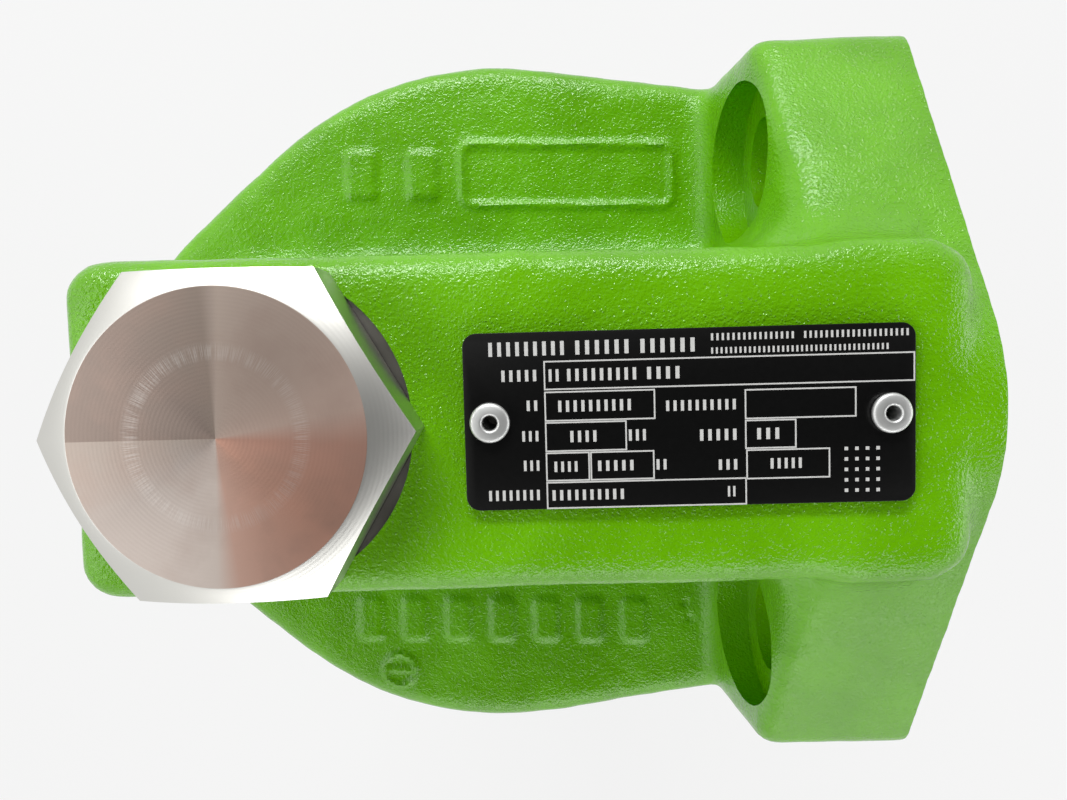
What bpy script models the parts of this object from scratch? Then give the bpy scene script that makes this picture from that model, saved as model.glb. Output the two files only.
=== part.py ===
"""Flange-mounted hydraulic pressure filter housing.

Metres, +Z up. The origin lies on the machined flange face, half-way between its two oil ports.
+X points out of that face, towards the block that the housing is bolted to, and the bowl hangs along -Z.
Oil enters the lower port, fills the bowl around the filter element, passes inwards through the pleats,
rises through the spigot and leaves by the upper port. A bypass valve joins the two sides when the element
is clogged, and a port at the far end of the bar, closed by a hexagon plug, takes a clogging indicator.
"""
import math

import bmesh
import bpy
from mathutils import Matrix, Vector

# Clearance between pieces that touch, slide or screw together
FIT_GAP = 0.0003

# How far a cutter reaches past the face it starts from, how far a blend is sunk into its two faces,
# the chamfer that breaks a turned edge, and the edge angle from which shading is split
OVERCUT = 0.002
BLEND_SINK = 0.0006
EDGE_BREAK = 0.001
SHARP_ANGLE = math.radians(35)
DRILL_TIP_ANGLE = math.radians(31)

# Head: the bar on top, a little wider at the plug's end
HEAD_TOP = 0.051
BAR_WIDTH = 0.0404
BAR_TAPER = 0.0012
BAR_PAST_PLUG = 0.022
BAR_END_SETBACK = 0.0027
BAR_CORNER_RADIUS = 0.0045
BAR_EDGE_RADIUS = 0.003
BAR_FOOT_RADIUS = 0.008

# Head: the flange, a plate with a gabled top
FLANGE_WIDTH = 0.106
FLANGE_THICKNESS = 0.0244
FLANGE_DRAFT = math.radians(6)
FLANGE_EDGE_RADIUS = 0.0045
FLANGE_CORNER_RADIUS = 0.004
FLANGE_FOOT_RADIUS = 0.012
FLANGE_FOOT_MARGIN = 0.0155
ROOF_ANGLE = math.radians(30)
GABLE_RADIUS = 0.022
ROOF_BLEND_RADIUS = 0.012

# Head: four screw holes with counterbores
SCREW_EDGE_DISTANCE = 0.0168
COUNTERBORE_ROOF_WALL = 0.0025
LOWER_SCREW_GAP = 0.0014
SCREW_HOLE_DIAMETER = 0.0135
COUNTERBORE_DIAMETER = 0.024
CLAMP_THICKNESS = 0.019

# Head: the bell that takes the bowl, drawn out to a narrower nose below the plug
BELL_AXIS_X = -0.0615
BELL_WALL = 0.0173
NOSE_DIAMETER = 0.0814
BELL_HEIGHT = 0.050
BELL_TOP_Z = 0.0024
BELL_EDGE_RADIUS = 0.0035
BELL_ROOF_THICKNESS = 0.0094
EAR_FOOT_RADIUS = 0.0035
BODY_INTO_FLANGE = 0.005
BODY_SIDE_STEP = 0.0005
ROUNDED_INTO_FLANGE = 0.004

# Head: oil ports in the flange face and the channels behind them
PORT_SPACING = 0.032
PORT_DIAMETER = 0.016
PORT_SEAL_DIAMETER = 0.026
PORT_SEAL_DEPTH = 0.0022
RISER_DIAMETER = 0.018
SPIGOT_DIAMETER = 0.0254
SPIGOT_LENGTH = 0.023

# Indicator port and its plug
PLUG_ACROSS_FLATS = 0.036
PLUG_HEAD_HEIGHT = 0.0091
PLUG_FACE_DIAMETER = 0.0321
PLUG_THREAD_DIAMETER = 0.0267
PLUG_SHANK_LENGTH = 0.022
PLUG_UNDERCUT_DIAMETER = 0.024
SPOT_FACE_DIAMETER = 0.0388
SPOT_FACE_DEPTH = 0.0003
INDICATOR_BORE_DEPTH = 0.024
INDICATOR_PILOT_DIAMETER = 0.014
INDICATOR_PILOT_DEPTH = 0.037
SENSING_HOLE_DIAMETER = 0.003
SENSING_HOLE_OFFSET = 0.0092
SENSING_HOLE_MARGIN = 0.0025
PLUG_SEAL_SECTION = 0.0022
PLUG_SEAL_CONE = 0.00484
PLUG_UNDERCUT_LENGTH = 0.00374
PLUG_CHAMFER_ANGLE = math.radians(30)

# Nameplate and its blind rivets
PLATE_LENGTH = 0.0514
PLATE_WIDTH = 0.0204
PLATE_THICKNESS = 0.0008
PLATE_CORNER_RADIUS = 0.002
PLATE_FROM_PLUG = 0.0512
PLATE_Y = 0.0003
RIVET_SPACING = 0.0455
RIVET_HEAD_DIAMETER = 0.0046
RIVET_HEAD_HEIGHT = 0.0009
RIVET_SHANK_DIAMETER = 0.0026
RIVET_BORE_DIAMETER = 0.0017
RIVET_LENGTH = 0.006
RIVET_LIP = 0.0003

# Bowl, built up from the element that it holds
ELEMENT_CLEARANCE = 0.003
BOWL_WALL = 0.0075
BOWL_PILOT_STEP = 0.0018
BOWL_PILOT_LENGTH = 0.0086
BOWL_THREAD_STEP = 0.0025
BOWL_THREAD_LENGTH = 0.0140
BOWL_FLOOR = 0.012
BOWL_ROUNDING = 0.010
BOWL_FLOOR_RADIUS = 0.004
BOWL_HEXAGON = 0.036
BOWL_HEXAGON_HEIGHT = 0.012
BOWL_HEXAGON_ROOT = 0.003
BOWL_SEAL_GROOVE_DEPTH = 0.0036
BOWL_SEAL_SECTION = 0.0033
BOWL_RELIEF_GAP = 0.002
BACKUP_RING_WIDTH = 0.0012

# Drain screw
DRAIN_THREAD_DIAMETER = 0.0126
DRAIN_HEAD_DIAMETER = 0.020
DRAIN_HEAD_HEIGHT = 0.005
DRAIN_SOCKET = 0.008
DRAIN_SOCKET_DEPTH = 0.004
DRAIN_LENGTH = 0.014
DRAIN_SEAL_THICKNESS = 0.0015
DRAIN_SEAL_WIDTH = 0.003

# Filter element
ELEMENT_DIAMETER = 0.059
ELEMENT_LENGTH = 0.1185
CAP_THICKNESS = 0.002
CAP_RIM_HEIGHT = 0.003
CAP_RIM_WALL = 0.001
HUB_WALL = 0.005
HUB_TOP_GAP = 0.006
SPIGOT_SEAL_SECTION = 0.002
CORE_DIAMETER = 0.0324
CORE_WALL = 0.0016
CORE_HOLE_DIAMETER = 0.005
CORE_HOLES_ROUND = 6
CORE_HOLE_ROWS = 4
PLEAT_COUNT = 36
PLEAT_RIM_GAP = 0.001
PLEAT_BACKING = 0.0015
FOOT_DIAMETER = 0.034
FOOT_WALL = 0.004
FOOT_HEIGHT = 0.0123

# Bypass valve
BYPASS_FROM_BELL_AXIS = 0.0235
BYPASS_SEAT_DIAMETER = 0.0164
BYPASS_SEAT_LENGTH = 0.0070
BYPASS_SEAT_FLANGE = 0.0018
BYPASS_SEAT_RIM = 0.0018
BYPASS_FLOW_DIAMETER = 0.009
POPPET_DIAMETER = 0.0116
POPPET_THICKNESS = 0.003
POPPET_STEM_DIAMETER = 0.005
POPPET_STEM_LENGTH = 0.0077
POPPET_PILOT_DIAMETER = 0.006
POPPET_PILOT_LENGTH = 0.0043
BYPASS_BORE_CLEARANCE = 0.0008
SPRING_DIAMETER = 0.0094
SPRING_WIRE = 0.0012
SPRING_TURNS = 6.5
SPRING_POCKET_DEPTH = 0.010
SPRING_POCKET_CLEARANCE = 0.0007

# Facets of round shapes
ROUND_STEPS = 48
BORE_STEPS = 32
SMALL_STEPS = 24
RIVET_STEPS = 16
SECTION_STEPS = 6
WIRE_STEPS = 8
FILLET_STEPS = 4

# Diameters and places across that follow from the sizes above
BOWL_DIAMETER = ELEMENT_DIAMETER + 2 * (ELEMENT_CLEARANCE + BOWL_WALL)
BOWL_PILOT_DIAMETER = BOWL_DIAMETER - 2 * BOWL_PILOT_STEP
BOWL_THREAD_DIAMETER = BOWL_PILOT_DIAMETER + 2 * BOWL_THREAD_STEP
BELL_DIAMETER = BOWL_THREAD_DIAMETER + 2 * BELL_WALL
SCREW_SPACING = FLANGE_WIDTH - 2 * SCREW_EDGE_DISTANCE
DIRTY_SENSING_X = BELL_AXIS_X - BOWL_PILOT_DIAMETER / 2 + SENSING_HOLE_MARGIN
PLUG_AXIS_X = DIRTY_SENSING_X + SENSING_HOLE_OFFSET
BAR_LENGTH = BAR_PAST_PLUG - PLUG_AXIS_X
PLATE_X = PLUG_AXIS_X + PLATE_FROM_PLUG
BYPASS_AXIS_X = BELL_AXIS_X + BYPASS_FROM_BELL_AXIS

# Heights that follow from the sizes above
BELL_BOTTOM_Z = BELL_TOP_Z - BELL_HEIGHT
CEILING_Z = BELL_TOP_Z - BELL_ROOF_THICKNESS
OUTLET_Z = PORT_SPACING / 2
INLET_Z = -PORT_SPACING / 2
SPIGOT_BOTTOM_Z = CEILING_Z - SPIGOT_LENGTH
ROOF_APEX_Z = HEAD_TOP + GABLE_RADIUS * (1 / math.cos(ROOF_ANGLE) - 1)
SHOULDER_Z = ROOF_APEX_Z - FLANGE_WIDTH / 2 * math.tan(ROOF_ANGLE)
UPPER_SCREW_Z = (ROOF_APEX_Z - SCREW_SPACING / 2 * math.tan(ROOF_ANGLE)
                 - COUNTERBORE_DIAMETER / 2 / math.cos(ROOF_ANGLE) - COUNTERBORE_ROOF_WALL)
LOWER_SCREW_Z = BELL_BOTTOM_Z - COUNTERBORE_DIAMETER / 2 - LOWER_SCREW_GAP
FLANGE_BOTTOM_Z = LOWER_SCREW_Z - FLANGE_FOOT_MARGIN
BOWL_TOP_Z = INLET_Z - PORT_DIAMETER / 2 - 2 * FIT_GAP
PILOT_BOTTOM_Z = BOWL_TOP_Z - BOWL_PILOT_LENGTH
CAP_TOP_Z = SPIGOT_BOTTOM_Z - HUB_WALL
ELEMENT_BOTTOM_Z = CAP_TOP_Z - ELEMENT_LENGTH
BOWL_FLOOR_Z = ELEMENT_BOTTOM_Z - FOOT_HEIGHT - FIT_GAP
BOWL_BOTTOM_Z = BOWL_FLOOR_Z - BOWL_FLOOR
HEXAGON_BOTTOM_Z = BOWL_BOTTOM_Z - BOWL_HEXAGON_HEIGHT
SPOT_FACE_Z = HEAD_TOP - SPOT_FACE_DEPTH
BYPASS_SEAT_TOP_Z = CEILING_Z + BYPASS_SEAT_LENGTH
PLATE_TOP_Z = HEAD_TOP + FIT_GAP + PLATE_THICKNESS


def clear_scene():
    for old in list(bpy.data.objects):
        bpy.data.objects.remove(old, do_unlink=True)


def material(name, colour, roughness, metallic):
    """A Principled BSDF with a plain colour, given as linear red, green and blue."""
    finish = bpy.data.materials.new(name)
    finish.use_nodes = True
    shader = finish.node_tree.nodes["Principled BSDF"]
    shader.inputs["Base Color"].default_value = (*colour, 1)
    shader.inputs["Roughness"].default_value = roughness
    shader.inputs["Metallic"].default_value = metallic
    return finish


def add_piece(name, shape, finish, origin=(0, 0, 0)):
    """Make an object of a bmesh that was built in place, with its origin where the caller wants it."""
    bmesh.ops.recalc_face_normals(shape, faces=shape.faces)
    bmesh.ops.translate(shape, verts=shape.verts, vec=-Vector(origin))
    mesh = bpy.data.meshes.new(name)
    shape.to_mesh(mesh)
    shape.free()
    mesh.shade_smooth()
    mesh.set_sharp_from_angle(angle=SHARP_ANGLE)
    mesh.materials.append(finish)
    piece = bpy.data.objects.new(name, mesh)
    piece.location = origin
    bpy.context.collection.objects.link(piece)
    return piece


def combine(piece, name, shape, operation):
    """Join a lump to a piece or cut one from it, with a Boolean modifier and a hidden helper object."""
    helper = add_piece(f"{piece.name}_{name}", shape, piece.data.materials[0])
    helper.hide_render = True
    helper.display_type = "WIRE"
    boolean = piece.modifiers.new(name, "BOOLEAN")
    boolean.operation = operation
    boolean.solver = "EXACT"
    boolean.object = helper


def join(piece, name, shape):
    combine(piece, name, shape, "UNION")


def cut(piece, name, shape):
    combine(piece, name, shape, "DIFFERENCE")


def arc(centre, radius, start, end, steps):
    """Points along an arc, from one angle to another, in radians."""
    turns = [start + (end - start) * i / steps for i in range(steps + 1)]
    return [(centre[0] + radius * math.cos(t), centre[1] + radius * math.sin(t)) for t in turns]


def turned(profile, axis_x=0.0, steps=ROUND_STEPS, axis_y=0.0):
    """Spin a closed outline of (radius, z) points round a vertical axis."""
    shape = bmesh.new()
    corners = [shape.verts.new((radius, 0, z)) for radius, z in profile]
    for i, corner in enumerate(corners):
        following = corners[(i + 1) % len(corners)]
        if corner.co.x > 0 or following.co.x > 0:
            shape.edges.new((corner, following))
    bmesh.ops.spin(shape, geom=shape.verts[:] + shape.edges[:], cent=(0, 0, 0), axis=(0, 0, 1),
                   angle=math.tau, steps=steps, use_merge=True)
    bmesh.ops.remove_doubles(shape, verts=shape.verts, dist=1e-6)
    bmesh.ops.translate(shape, verts=shape.verts, vec=(axis_x, axis_y, 0))
    return shape


def torus(ring_radius, section, z, axis_x, steps=SMALL_STEPS):
    """An O-ring round a vertical axis."""
    full = arc((ring_radius, z), section / 2, 0, math.tau, SECTION_STEPS)
    return turned(full[:-1], axis_x, steps)


def prism(outline, lift, place):
    """Extrude an outline by lift, after place has turned its points from 2-D into 3-D."""
    shape = bmesh.new()
    face = shape.faces.new([shape.verts.new(place(a, b)) for a, b in outline])
    grown = bmesh.ops.extrude_face_region(shape, geom=[face])
    moved = [item for item in grown["geom"] if isinstance(item, bmesh.types.BMVert)]
    bmesh.ops.translate(shape, verts=moved, vec=lift)
    return shape


def upright_prism(outline, bottom, top):
    return prism(outline, (0, 0, top - bottom), lambda x, y: (x, y, bottom))


def rod(start, end, diameter, steps=BORE_STEPS):
    """A round bar between two points, mostly used to drill with."""
    run = Vector(end) - Vector(start)
    shape = bmesh.new()
    turn = run.to_track_quat("Z", "Y").to_matrix().to_4x4()
    place = Matrix.Translation((Vector(start) + Vector(end)) / 2) @ turn
    bmesh.ops.create_cone(shape, cap_ends=True, segments=steps, radius1=diameter / 2, radius2=diameter / 2,
                          depth=run.length, matrix=place)
    return shape


def round_edges(shape, radius, chosen, steps=FILLET_STEPS):
    """Round the edges that the test picks."""
    edges = [edge for edge in shape.edges if chosen(edge)]
    bmesh.ops.bevel(shape, geom=edges, offset=radius, offset_type="OFFSET", affect="EDGES", segments=steps,
                    profile=0.5, material=-1, clamp_overlap=True)


def all_at(axis, value):
    """A test for edges that lie wholly at one coordinate."""
    return lambda edge: all(abs(vert.co[axis] - value) < 1e-6 for vert in edge.verts)


def concave_fillet(corner, along_a, along_b, radius, run):
    """The metal that rounds an inside corner between two faces, as a strip that is sunk a little into both.

    The corner is where the run starts. Each face leaves the corner along its own unit direction.
    """
    corner, along_a, along_b = Vector(corner), Vector(along_a), Vector(along_b)
    half = along_a.angle(along_b) / 2
    bisector = (along_a + along_b).normalized()
    centre = corner + bisector * radius / math.sin(half)
    reach = radius / math.tan(half)
    sink = BLEND_SINK
    touch_a, touch_b = corner + along_a * reach, corner + along_b * reach
    from_a = (touch_a - centre).normalized()
    from_b = (touch_b - centre).normalized()
    curve = [centre + from_a.slerp(from_b, i / 5) * radius for i in range(6)]
    below_a = (bisector.project(along_a) - bisector).normalized() * sink
    below_b = (bisector.project(along_b) - bisector).normalized() * sink
    outline = curve + [touch_b + below_b, corner - bisector * 2 * sink, touch_a + below_a]
    shape = bmesh.new()
    face = shape.faces.new([shape.verts.new(point) for point in outline])
    grown = bmesh.ops.extrude_face_region(shape, geom=[face])
    moved = [item for item in grown["geom"] if isinstance(item, bmesh.types.BMVert)]
    bmesh.ops.translate(shape, verts=moved, vec=run)
    return shape


def rounded_rectangle(left, right, half_width, left_radius, right_radius):
    """A rectangle along X, centred on Y = 0, with round corners."""
    outline = arc((right - right_radius, half_width - right_radius), right_radius, 0, math.pi / 2,
                  FILLET_STEPS)
    outline += arc((left + left_radius, half_width - left_radius), left_radius, math.pi / 2, math.pi,
                   FILLET_STEPS)
    outline += arc((left + left_radius, left_radius - half_width), left_radius, math.pi, 1.5 * math.pi,
                   FILLET_STEPS)
    outline += arc((right - right_radius, right_radius - half_width), right_radius, 1.5 * math.pi, math.tau,
                   FILLET_STEPS)
    return outline


def hexagon(across_flats, centre_x, turn=0.0):
    radius = across_flats / math.sqrt(3)
    return [(centre_x + radius * math.cos(turn + math.pi / 3 * i), radius * math.sin(turn + math.pi / 3 * i))
            for i in range(6)]


def flange_plate():
    """The flange: a gabled plate whose front face leans back above the bell, with rounded front edges."""
    half = FLANGE_WIDTH / 2
    apex = (0, HEAD_TOP - GABLE_RADIUS)
    right = arc(apex, GABLE_RADIUS, math.pi / 2, math.pi / 2 - ROOF_ANGLE, 4)
    corner_lift = FLANGE_CORNER_RADIUS * math.tan((math.pi / 2 - ROOF_ANGLE) / 2)
    right += arc((half - FLANGE_CORNER_RADIUS, SHOULDER_Z - corner_lift), FLANGE_CORNER_RADIUS,
                 math.pi / 2 - ROOF_ANGLE, 0, 3)
    right += arc((half - FLANGE_FOOT_RADIUS, FLANGE_BOTTOM_Z + FLANGE_FOOT_RADIUS), FLANGE_FOOT_RADIUS, 0,
                 -math.pi / 2, 5)
    left = [(-y, z) for y, z in reversed(right[1:])]
    shape = prism(right + left, (-FLANGE_THICKNESS, 0, 0), lambda y, z: (0, y, z))
    bmesh.ops.bisect_plane(shape, geom=shape.verts[:] + shape.edges[:] + shape.faces[:], dist=1e-7,
                           plane_co=(0, 0, BELL_TOP_Z), plane_no=(0, 0, 1))
    front = [vert for vert in shape.verts if vert.co.x < -FLANGE_THICKNESS / 2]
    rim = [edge for edge in shape.edges
           if all(vert.co.x < -FLANGE_THICKNESS / 2 for vert in edge.verts)
           and any(abs(face.normal.x) < 0.5 for face in edge.link_faces)]
    for vert in front:
        vert.co.x += max(0, vert.co.z - BELL_TOP_Z) * math.tan(FLANGE_DRAFT)
    bmesh.ops.bevel(shape, geom=rim, offset=FLANGE_EDGE_RADIUS, offset_type="OFFSET", affect="EDGES",
                    segments=FILLET_STEPS, profile=0.5, material=-1, clamp_overlap=True)
    return shape


def bell_outline():
    """Plan of the body: the round bell, straight sides that run from it into the flange, and the nose."""
    end_x = -FLANGE_THICKNESS + BODY_INTO_FLANGE
    end_y = FLANGE_WIDTH / 2 - BODY_SIDE_STEP
    radius, nose = BELL_DIAMETER / 2, NOSE_DIAMETER / 2
    run_x = end_x - BELL_AXIS_X
    leave = math.atan2(end_y, run_x) + math.acos(radius / math.hypot(run_x, end_y))
    tangent = math.pi - math.acos((radius - nose) / (BELL_AXIS_X - PLUG_AXIS_X))
    far = arc((BELL_AXIS_X, 0), radius, leave, tangent, 10)
    far += arc((PLUG_AXIS_X, 0), nose, tangent, math.pi, 8)
    near = [(x, -y) for x, y in reversed(far[:-1])]
    return far + near + [(end_x, -end_y), (end_x, end_y)]


def bell_body():
    shape = upright_prism(bell_outline(), BELL_BOTTOM_Z, BELL_TOP_Z)
    front = -FLANGE_THICKNESS + ROUNDED_INTO_FLANGE
    top, bottom = all_at(2, BELL_TOP_Z), all_at(2, BELL_BOTTOM_Z)
    round_edges(shape, BELL_EDGE_RADIUS, lambda edge: top(edge) and min(v.co.x for v in edge.verts) < front)
    round_edges(shape, BELL_EDGE_RADIUS / 2,
                lambda edge: bottom(edge) and min(v.co.x for v in edge.verts) < front, 2)
    return shape


def bar():
    outline = rounded_rectangle(-BAR_LENGTH, -BAR_END_SETBACK, BAR_WIDTH / 2, BAR_CORNER_RADIUS,
                                BAR_CORNER_RADIUS)
    shape = upright_prism(outline, CEILING_Z + OVERCUT, HEAD_TOP)
    for vert in shape.verts:
        vert.co.y -= math.copysign(BAR_TAPER / 2, vert.co.y) * (vert.co.x / BAR_LENGTH + 0.5)
    round_edges(shape, BAR_EDGE_RADIUS, all_at(2, HEAD_TOP))
    return shape


def join_fillets(head):
    """The cast blends in the inside corners between the bar, the bell and the flange."""
    half = BAR_WIDTH / 2
    inside_flange = -FLANGE_THICKNESS + ROUNDED_INTO_FLANGE
    foot_run = inside_flange - (-BAR_LENGTH + BAR_CORNER_RADIUS)
    roof_z = ROOF_APEX_Z - half * math.tan(ROOF_ANGLE)
    roof_start = -FLANGE_THICKNESS + (roof_z - BELL_TOP_Z) * math.tan(FLANGE_DRAFT) + FLANGE_EDGE_RADIUS * 0.4
    ear_half = FLANGE_WIDTH / 2 - FLANGE_EDGE_RADIUS
    for side, label in ((1, "far"), (-1, "near")):
        join(head, f"bar_foot_{label}", concave_fillet(
            (-BAR_LENGTH + BAR_CORNER_RADIUS, side * half, BELL_TOP_Z), (0, side, 0), (0, 0, 1),
            BAR_FOOT_RADIUS, (foot_run, 0, 0)))
        join(head, f"roof_blend_{label}", concave_fillet(
            (roof_start, side * half, roof_z), (0, side * math.cos(ROOF_ANGLE), -math.sin(ROOF_ANGLE)),
            (0, 0, 1), ROOF_BLEND_RADIUS, (-BAR_END_SETBACK - BAR_CORNER_RADIUS - roof_start, 0, 0)))
        lean = Vector((math.sin(FLANGE_DRAFT), 0, math.cos(FLANGE_DRAFT)))
        join(head, f"ear_foot_{label}", concave_fillet(
            (-FLANGE_THICKNESS, side * (half - 0.001), BELL_TOP_Z), (-1, 0, 0), lean,
            EAR_FOOT_RADIUS, (0, side * (ear_half - half), 0)))
        join(head, f"ear_side_{label}", concave_fillet(
            (-FLANGE_THICKNESS, side * half, BELL_TOP_Z - 0.002), (-1, 0, 0), (0, side, 0),
            BAR_FOOT_RADIUS, lean * (roof_z - BELL_TOP_Z - FLANGE_EDGE_RADIUS)))


def bell_cavity():
    """Room inside the bell: thread bore, pilot bore and the annular oil space round the spigot."""
    thread = BOWL_THREAD_DIAMETER / 2 + FIT_GAP
    pilot = BOWL_PILOT_DIAMETER / 2 + FIT_GAP
    mouth = BELL_BOTTOM_Z - OVERCUT
    spigot = SPIGOT_DIAMETER / 2
    riser = RISER_DIAMETER / 2
    return turned([(0, mouth), (thread, mouth), (thread, PILOT_BOTTOM_Z + FIT_GAP),
                   (pilot, PILOT_BOTTOM_Z + FIT_GAP + thread - pilot), (pilot, CEILING_Z - EDGE_BREAK),
                   (pilot - EDGE_BREAK, CEILING_Z), (spigot + EDGE_BREAK, CEILING_Z),
                   (spigot, CEILING_Z - EDGE_BREAK), (spigot, SPIGOT_BOTTOM_Z + EDGE_BREAK),
                   (spigot - EDGE_BREAK, SPIGOT_BOTTOM_Z), (riser, SPIGOT_BOTTOM_Z), (riser, OUTLET_Z),
                   (0, OUTLET_Z)], BELL_AXIS_X)


def indicator_port():
    """The plug's port: spot face, sealing cone, thread bore and the indicator's pilot bore."""
    bore = PLUG_THREAD_DIAMETER / 2 + FIT_GAP
    cone = PLUG_UNDERCUT_DIAMETER / 2 + PLUG_SEAL_CONE
    pilot = INDICATOR_PILOT_DIAMETER / 2
    above = HEAD_TOP + OVERCUT
    step_z = SPOT_FACE_Z - INDICATOR_BORE_DEPTH
    pilot_z = SPOT_FACE_Z - INDICATOR_PILOT_DEPTH
    return turned([(0, above), (SPOT_FACE_DIAMETER / 2, above), (SPOT_FACE_DIAMETER / 2, SPOT_FACE_Z),
                   (cone, SPOT_FACE_Z), (bore, SPOT_FACE_Z - (cone - bore)), (bore, step_z), (pilot, step_z),
                   (pilot, pilot_z), (0, pilot_z - pilot * math.tan(DRILL_TIP_ANGLE))], PLUG_AXIS_X)


def cut_screw_holes(head):
    """Four clearance holes, each with a counterbore that leaves the clamped thickness."""
    for side, name in ((1, "far"), (-1, "near")):
        for z, row in ((UPPER_SCREW_Z, "upper"), (LOWER_SCREW_Z, "lower")):
            y = side * SCREW_SPACING / 2
            cut(head, f"{row}_{name}_hole", rod((-CLAMP_THICKNESS - OVERCUT / 2, y, z), (OVERCUT, y, z),
                                                SCREW_HOLE_DIAMETER, SMALL_STEPS))
            front = -FLANGE_THICKNESS - BAR_FOOT_RADIUS - OVERCUT
            cut(head, f"{row}_{name}_counterbore", rod((front, y, z), (-CLAMP_THICKNESS, y, z),
                                                        COUNTERBORE_DIAMETER))


def cut_oil_ways(head):
    """Inlet and outlet channels with their seal recesses, and the two sensing holes of the indicator."""
    cut(head, "outlet", rod((BELL_AXIS_X, 0, OUTLET_Z), (OVERCUT, 0, OUTLET_Z), PORT_DIAMETER, SMALL_STEPS))
    inlet_end = BELL_AXIS_X + BOWL_PILOT_DIAMETER / 2 - 2 * OVERCUT
    cut(head, "inlet", rod((inlet_end, 0, INLET_Z), (OVERCUT, 0, INLET_Z), PORT_DIAMETER, SMALL_STEPS))
    for z, name in ((OUTLET_Z, "outlet"), (INLET_Z, "inlet")):
        cut(head, f"{name}_seal_recess", rod((-PORT_SEAL_DEPTH, 0, z), (OVERCUT, 0, z), PORT_SEAL_DIAMETER))
    step_z = SPOT_FACE_Z - INDICATOR_BORE_DEPTH
    sensing_top = step_z + OVERCUT / 2
    cut(head, "dirty_sensing", rod((DIRTY_SENSING_X, 0, CEILING_Z - OVERCUT), (DIRTY_SENSING_X, 0, sensing_top),
                                   SENSING_HOLE_DIAMETER, RIVET_STEPS))
    clean_x = PLUG_AXIS_X + INDICATOR_PILOT_DIAMETER / 2 - OVERCUT
    clean_end = BELL_AXIS_X - RISER_DIAMETER / 2 + OVERCUT
    cut(head, "clean_sensing", rod((clean_x, 0, OUTLET_Z), (clean_end, 0, OUTLET_Z), SENSING_HOLE_DIAMETER,
                                   RIVET_STEPS))


def bypass_bore():
    """Stepped bore of the bypass valve: seat thread, poppet room and the pocket of the spring."""
    seat = BYPASS_SEAT_DIAMETER / 2 + FIT_GAP
    room = POPPET_DIAMETER / 2 + BYPASS_BORE_CLEARANCE
    pocket = SPRING_DIAMETER / 2 + SPRING_POCKET_CLEARANCE
    pocket_top = OUTLET_Z + PORT_DIAMETER / 2 + SPRING_POCKET_DEPTH
    return turned([(0, CEILING_Z - OVERCUT), (seat, CEILING_Z - OVERCUT), (seat, BYPASS_SEAT_TOP_Z + FIT_GAP),
                   (room, BYPASS_SEAT_TOP_Z + FIT_GAP), (room, OUTLET_Z), (pocket, OUTLET_Z),
                   (pocket, pocket_top), (0, pocket_top)], BYPASS_AXIS_X, SMALL_STEPS)


def bowl_relief():
    """Hollow in the lower flange that keeps it clear of the bowl."""
    radius = BOWL_DIAMETER / 2 + BOWL_RELIEF_GAP
    bottom, top = FLANGE_BOTTOM_Z - OVERCUT, BELL_BOTTOM_Z + BELL_EDGE_RADIUS
    return turned([(0, bottom), (radius, bottom), (radius, top), (0, top)], BELL_AXIS_X)


def make_head(paint):
    head = add_piece("filter_head", flange_plate(), paint)
    cut(head, "relief", bowl_relief())
    join(head, "bell", bell_body())
    join(head, "bar", bar())
    join_fillets(head)
    cut(head, "cavity", bell_cavity())
    cut(head, "indicator_port", indicator_port())
    cut_screw_holes(head)
    cut_oil_ways(head)
    cut(head, "bypass_bore", bypass_bore())
    for side in (-1, 1):
        x = PLATE_X + side * RIVET_SPACING / 2
        cut(head, f"rivet_hole_{side + 1}", rod((x, PLATE_Y, HEAD_TOP - RIVET_LENGTH - FIT_GAP),
                                               (x, PLATE_Y, HEAD_TOP + OVERCUT),
                                               RIVET_SHANK_DIAMETER + 2 * FIT_GAP, RIVET_STEPS))
    return head


def make_plug(steel, rubber):
    """Hexagon plug with a chamfered, faced head and an undercut for its O-ring."""
    bottom, top = HEAD_TOP, HEAD_TOP + PLUG_HEAD_HEIGHT
    shape = upright_prism(hexagon(PLUG_ACROSS_FLATS, PLUG_AXIS_X), bottom, top)
    plug = add_piece("screw_plug", shape, steel, (PLUG_AXIS_X, 0, bottom))
    corner = PLUG_ACROSS_FLATS / math.sqrt(3) + OVERCUT
    face = PLUG_FACE_DIAMETER / 2
    slope = math.tan(PLUG_CHAMFER_ANGLE)
    turn_off = turned([(face, top), (face - OVERCUT / 2, top + OVERCUT), (corner, top + OVERCUT),
                       (corner, top - (corner - face) * slope)], PLUG_AXIS_X, 60)
    cut(plug, "chamfer", turn_off)
    shank, undercut = PLUG_THREAD_DIAMETER / 2, PLUG_UNDERCUT_DIAMETER / 2
    end = bottom - PLUG_SHANK_LENGTH
    neck = bottom - PLUG_UNDERCUT_LENGTH
    join(plug, "shank", turned([(0, bottom + OVERCUT), (undercut, bottom + OVERCUT), (undercut, neck),
                                (shank, neck - (shank - undercut)), (shank, end + EDGE_BREAK),
                                (shank - EDGE_BREAK, end), (0, end)], PLUG_AXIS_X, BORE_STEPS))
    seal_z = SPOT_FACE_Z - PLUG_SEAL_SECTION / 2 - FIT_GAP / 2
    ring = undercut + PLUG_SEAL_SECTION / 2 + FIT_GAP
    add_piece("plug_o_ring", torus(ring, PLUG_SEAL_SECTION, seal_z, PLUG_AXIS_X), rubber,
              (PLUG_AXIS_X, 0, seal_z))


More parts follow.
